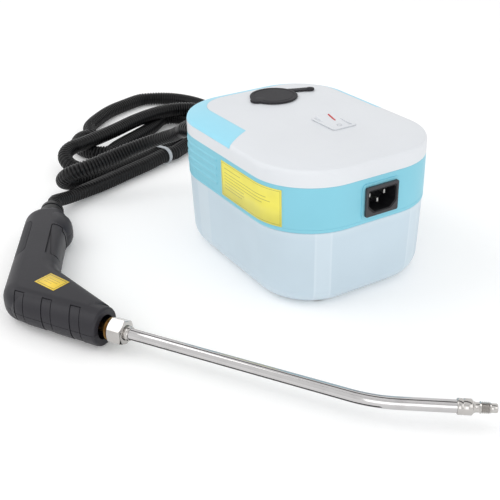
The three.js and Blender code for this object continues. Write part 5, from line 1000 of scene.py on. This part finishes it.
bands = {"starts": (-88.5, -63.1, -37.6), "width": 9.2, "depth": 0.3, "line": 0.7, "lineDepth": 0.9,
         "highest": -3, "side": 14, "reach": 40, "slant": 0.08, "lean": 0.42}
bandShift = bands["slant"] * bands["side"] + bands["lean"] * bands["highest"]
bandSlant = Matrix(((1, -bands["lean"], -bands["slant"], bandShift), (0, 1, 0, 0), (0, 0, 1, 0), (0, 0, 0, 1)))


def bandFields(shrink):
    top, reach = bands["highest"] - shrink, bands["reach"]
    return [moved(block((start + shrink, -reach, -reach), (start + bands["width"] - shrink, top, reach)),
                  bandSlant) for start in bands["starts"]]


fields = combine("UNION", *bandFields(0))
bandLines = combine("DIFFERENCE", fields.copy(), *bandFields(bands["line"]), handsetForm(bands["lineDepth"]))
bandGrooves = combine("DIFFERENCE", fields, handsetForm(bands["depth"]))
seatEnds = (handset["seatStart"], handset["seatEnd"])
pinSeats = [moved(drum(handset["seatRadius"], low, high, steps=32), pivot)
            for low, high in ((-seatEnds[1], -seatEnds[0]), seatEnds)]
hollow = combine("DIFFERENCE", handsetForm(handset["wall"]), triggerRoom(handset["wall"]), *pinSeats)
whole = combine(
    "DIFFERENCE", handsetForm(0), bandGrooves, bandLines,
    combine("DIFFERENCE", padRoom(0.3), handsetForm(1.6)), triggerRoom(0),
    gripPrism(boxCorners((-67, 97.6), (-60, 146.5)), 13.3),
    moved(drum(handset["hoseHole"], pommel["buttEnd"] - 9, pommel["buttEnd"] + 4, steps=40), hoseAxis),
)
pinHole = drum(handset["pinHole"], -handset["pinReach"], handset["pinReach"], steps=24)
whole = combine("DIFFERENCE", whole, hollow, moved(pinHole, pivot))
for name, node, low, high in (
    ("handset_upper_half", "handset_shell_upper", handset["seam"], beyond),
    ("handset_lower_half", "handset_shell_lower", -beyond, -handset["seam"]),
):
    half = combine("INTERSECT", whole.copy(), block((-beyond, -beyond, low), (beyond, beyond, high)))
    finishPiece(moved(half, handPlace), name, gripGrey, stands=(node,), weighted=True,
                crease=32)
whole.free()

padBody = combine("DIFFERENCE", combine("INTERSECT", handsetForm(0), padRoom(0)), handsetForm(1.3))
finishPiece(moved(padBody, handPlace), "grip_pad_cover", padBlack, stands=("grip_pad",),
            weighted=True)

leverFace = [(-56.2, 99), (-50, 100.1), (-36, 100.6), (-36, 138.6), (-52.7, 144.6), (-52.7, 149.5),
             (-60.6, 149.5), (-60.6, 144)]
leverCore = [(-65, 101.1), (-57.8, 101.9), (-54, 103), (-54, 144), (-59.8, 148.8), (-67, 150), (-72, 145),
             (-69.5, 139), (-65, 134)]
leverFill = [(-62, 99.6), (-50, 100.4), (-50, 143), (-62, 144)]
lever = combine("UNION", combine("INTERSECT", handsetForm(0.5), gripPrism(leverFace, beyond, [(6, 1.5, 4)])),
                combine("INTERSECT", handsetForm(1.4), gripPrism(leverFill, 13.1)),
                gripPrism(leverCore, 9, [(5, 3, 6), (6, 5, 8)]))
lever = combine("DIFFERENCE", lever, moved(drum(handset["pinHole"], -12, 12, steps=24), pivot),
                moved(drum(4.4, -3.9, 3.9, steps=32), pivot))
finishPiece(moved(lever, handPlace), "trigger_lever", triggerGrey, body="trigger",
            stands=("trigger",), weighted=True, crease=32)

label = {"place": (-68.7, 15.9), "turn": -13, "length": 22, "width": 15.5, "out": 0.04, "thickness": 0.1}
labelPlace = handPlace @ at(*label["place"], handset["half"] + label["out"]) @ turn(label["turn"], "Z")
labelBody = moved(stickerSheet(), labelPlace @ Matrix.Diagonal((label["length"], label["width"], 1, 1)))
handSticker = stickerFinish("grip sticker", paint(247, 212, 74), (label["length"], label["width"]), {
    "inset": 1.6, "width": 0.3, "borderStrength": 0.7, "lineWidth": 0.3, "lineStrength": 0.45,
    "ink": (112, 92, 50), "lines": [(10.4, 5, 17), (8, 5, 17), (5.6, 5, 13)],
})
finishPiece(labelBody, "grip_sticker", handSticker, thickness=label["thickness"])
print("handset made")

# Collar, strain relief and gland.
collar = turned([(4.6, 183.6), (6.6, 183.5), (7, 183.9), (7, 191.3), (10, 191.3), (10.4, 191.7), (10.4, 198.7),
                 (10.1, 199.1), (9.6, 199.2), (9.6, 201.4), (10.1, 201.5), (10.4, 201.9), (10.4, 205.8),
                 (10, 207.2), (9.2, 208), (7.4, 208.4), (7, 208.2), (6.8, 207.6), (4.6, 207.2)])
finishPiece(moved(collar, handPlace @ hoseAxis), "hose_collar_ring", collarBlack,
            stands=("hose_collar",))

relief = {"rings": 7, "first": 17, "fromEnd": 6, "radius": 8.1, "taper": 1, "groove": 1,
          "path": [(-88, -39, 81), (-104, -39, 81), (-120, -39.3, 79.4), (-131, -39.7, 76.6),
                   (-139, -40.2, 72.4)]}
reliefRoute = Route(relief["path"])
reliefStations = [(0, 5.9), (0.4, 6), (11, 6), (12.6, 6), (12.7, 8.2), (13.2, 8.6), (15.6, 8.3)]
lastRing = reliefRoute.length - relief["fromEnd"]
pitch = (lastRing - relief["first"]) / relief["rings"]
for ring in range(relief["rings"]):
    begin = relief["first"] + pitch * ring
    size = relief["radius"] - relief["taper"] * ring / relief["rings"]
    root = size - relief["groove"]
    reliefStations += [(begin, root), (begin + pitch * 0.35, root), (begin + pitch * 0.42, size),
                       (begin + pitch * 0.93, size - 0.1), (begin + pitch * 0.99, root)]
reliefStations += [(lastRing + 0.5, 6.9), (reliefRoute.length - 0.4, 6.9), (reliefRoute.length, 6.6)]
finishPiece(swept(reliefRoute, reliefStations, 40), "hose_strain_relief", hoseBlack,
            stands=("outlet_gland",))
glandFlange = drum(gland["flange"], gland["flangeEnd"] - gland["flangeThickness"], gland["flangeEnd"], 0.8)
finishPiece(moved(glandFlange, glandPlace), "hose_gland_flange", sealBlack)

# Lance: nut, sleeve, union, bent tube and threaded nozzle.
lance = {"radius": 4.2, "bendAt": 189, "bendRadius": 85, "bend": 20, "tail": 35.1, "nutAcross": 17,
         "nutStart": -4.8, "nutEnd": 7}
lancePlace = handPlace @ alongX
corner = lance["nutAcross"] / 2 / math.cos(math.pi / 6)
angles = [math.radians(60 * index) for index in range(6)]
hexagon = prism([(corner * math.cos(angle), corner * math.sin(angle)) for angle in angles],
                lance["nutStart"], lance["nutEnd"])
chamfer = turned([(0, lance["nutStart"]), (corner - 1.5, lance["nutStart"]),
                  (corner + 0.1, lance["nutStart"] + 0.95), (corner + 0.1, lance["nutEnd"] - 1.1),
                  (corner - 1.8, lance["nutEnd"]), (0, lance["nutEnd"])], 72)
nut = combine("INTERSECT", hexagon, chamfer)
nut = combine("DIFFERENCE", nut, turned([(0, -10), (6.9, -10), (6.9, 1.6), (5.5, 2.4), (5.5, 8), (0, 8)]))
finishPiece(moved(nut, lancePlace), "lance_hex_nut", nutChrome, stands=("lance_nut",), bevel=0.25)
sleeveTurned = turned([(4.3, 1.8), (5.3, 1.8), (5.3, 7), (5.4, 7.2), (5.4, 10), (5.1, 10.6), (4.7, 10.8),
                       (4.3, 10.8)])
finishPiece(moved(sleeveTurned, lancePlace), "lance_ferrule", nutChrome, stands=("lance_sleeve",))

ringThreads = [(8.2 if step % 2 else 7.5, -7.6 + step * 0.45) for step in range(1, 6)]
union = turned([(1.8, -30), (3.6, -30), (4, -29.6), (4, -8), (7.5, -7.4), *ringThreads, (6.4, -5), (6.2, -2.3),
                (1.8, -2.3)], 56)
finishPiece(moved(union, lancePlace), "brass_union", brassPlain, stands=("union_fitting",))

bendTurn = math.radians(lance["bend"])
tangent = lance["bendRadius"] * math.tan(bendTurn / 2)
bendStart = lance["bendAt"] - tangent


def pastBend(reach):  # on the lance's middle line, so far past the end of its bend
    return (lance["bendAt"] + (tangent + reach) * math.cos(bendTurn), (tangent + reach) * math.sin(bendTurn), 0)


tubePoints = [(x, 0, 0) for x in (-1, 10, 60, 120, bendStart - 6, bendStart)]
for step in range(1, 12):
    angle = bendTurn * step / 12
    tubePoints.append((bendStart + lance["bendRadius"] * math.sin(angle),
                       lance["bendRadius"] * (1 - math.cos(angle)), 0))
tubePoints += [pastBend(reach) for reach in (0, 6, 20, lance["tail"] + 6.7)]
tubeRoute = Route(tubePoints)
shares = [0.1, 0.3, 0.5, *[step / 64 for step in range(40, 65)]]  # close together from the bend on
tubeStations = [(0, 6), (0.4, 6.2), (2.2, 6.2), (2.6, 4.6), (3, lance["radius"]),
                *[(share * tubeRoute.length, lance["radius"]) for share in shares]]
finishPiece(moved(swept(tubeRoute, tubeStations, 40), handPlace), "lance_bent_tube", chromeBright,
            stands=("lance_tube",), crease=50)

nozzleThreads = [(3.9 if step % 2 else 3.1, 13.6 + step * 0.6) for step in range(1, 11)]
nozzle = turned([(4.3, 0.1), (4.9, 0), (5.2, 0.35), (5.2, 3.2), (5.05, 3.4), (5.05, 3.9), (5.2, 4.1),
                 (5.2, 8.7), (4.7, 9.2), (4.1, 9.6), (3.2, 11.2), (3.15, 13.2), (3.7, 13.7), *nozzleThreads,
                 (3.4, 20.2), (2.9, 20.5), (2.95, 20.9), (2.95, 23.8), (2.5, 24.3), (1.4, 24.3), (1.2, 24),
                 (1.2, 7), (4.3, 7)])
nozzlePlace = handPlace @ at(*pastBend(lance["tail"])) @ turn(lance["bend"], "Z") @ alongX
finishPiece(moved(nozzle, nozzlePlace), "steam_nozzle", nutChrome, stands=("nozzle_fitting",),
            crease=45)
print("lance made")


# The floor, which keeps the object's shadow, and the light.
def stagePiece(bm, name, finish):
    bmesh.ops.scale(bm, vec=(mm, mm, mm), verts=bm.verts)
    made = asObject(bm, name)
    made.data.materials.append(finish.material)
    return made


floorFinish = Finish("floor", paint(250, 250, 250), 0.9,
                     {"Emission Color": (1, 1, 1, 1), "Emission Strength": 0.1})
floorFinish.feed("Roughness", 0.85 + floorFinish.noise(3) * 0.1)
stagePiece(grid(size=6000), "floor", floorFinish)

world = bpy.data.worlds.new("studio")
scene.world = world
world.use_nodes = True
sky = Shading(world.node_tree)
background = sky.tree.nodes["Background"]
background.inputs["Color"].default_value = (1, 1, 1, 1)
straight, mirrored, through = [sky.node("ShaderNodeLightPath", output="Is " + kind + " Ray")
                               for kind in ("Camera", "Glossy", "Transmission")]
level = sky.node("ShaderNodeMapRange",
                 inputs={"Value": straight.most(mirrored).most(through), "To Min": 0.86, "To Max": 1})
sky.tree.links.new(level.socket, background.inputs["Strength"])

lamps = {  # place, size and power
    "key": ((-0.9, -1.3, 1.7), 1.4, 9),
    "side": ((1.6, 0.4, 1), 1, 2.6),
    "front": ((1.3, -1.1, 0.6), 1, 4),
}
lampAim = Vector((-0.1, -0.05, 0.05))
for name, (place, size, power) in lamps.items():
    lampData = bpy.data.lights.new(name, "AREA")
    lampData.size = size
    lampData.energy = power
    lampObject = bpy.data.objects.new(name, lampData)
    scene.collection.objects.link(lampObject)
    lampObject.location = place
    lampObject.rotation_euler = (lampAim - Vector(place)).to_track_quat("-Z", "Y").to_euler()

# Dark cards that only the chrome's reflections show; one lies on the floor, by the lance.
cards = {  # elevation, distance, width and length
    "overhead": (112, 800, 330, 1600),
    "front": (62, 900, 60, 1600),
    "ground": (-64, 16, 10, 190),
}
cardFinish = Finish("dark card", paint(40, 38, 38), 0.9)
cardFinish.feed("Roughness", 0.85 + cardFinish.noise(3) * 0.1)
for name, (elevation, distance, width, length) in cards.items():
    rise = math.radians(elevation)
    if elevation > 0:
        cardPlace = at(100, -math.cos(rise) * distance, math.sin(rise) * distance) @ turn(elevation - 90, "X")
    else:
        cardPlace = at(100, -math.cos(rise) * distance, 0.4 - handset["place"][2])
    cardBody = moved(grid(), handPlace @ cardPlace @ Matrix.Diagonal((length, width, 1, 1)))
    card = stagePiece(cardBody, "card " + name, cardFinish)
    for ray in ("camera", "diffuse", "transmission", "shadow"):
        setattr(card, "visible_" + ray, False)
print("stage set")
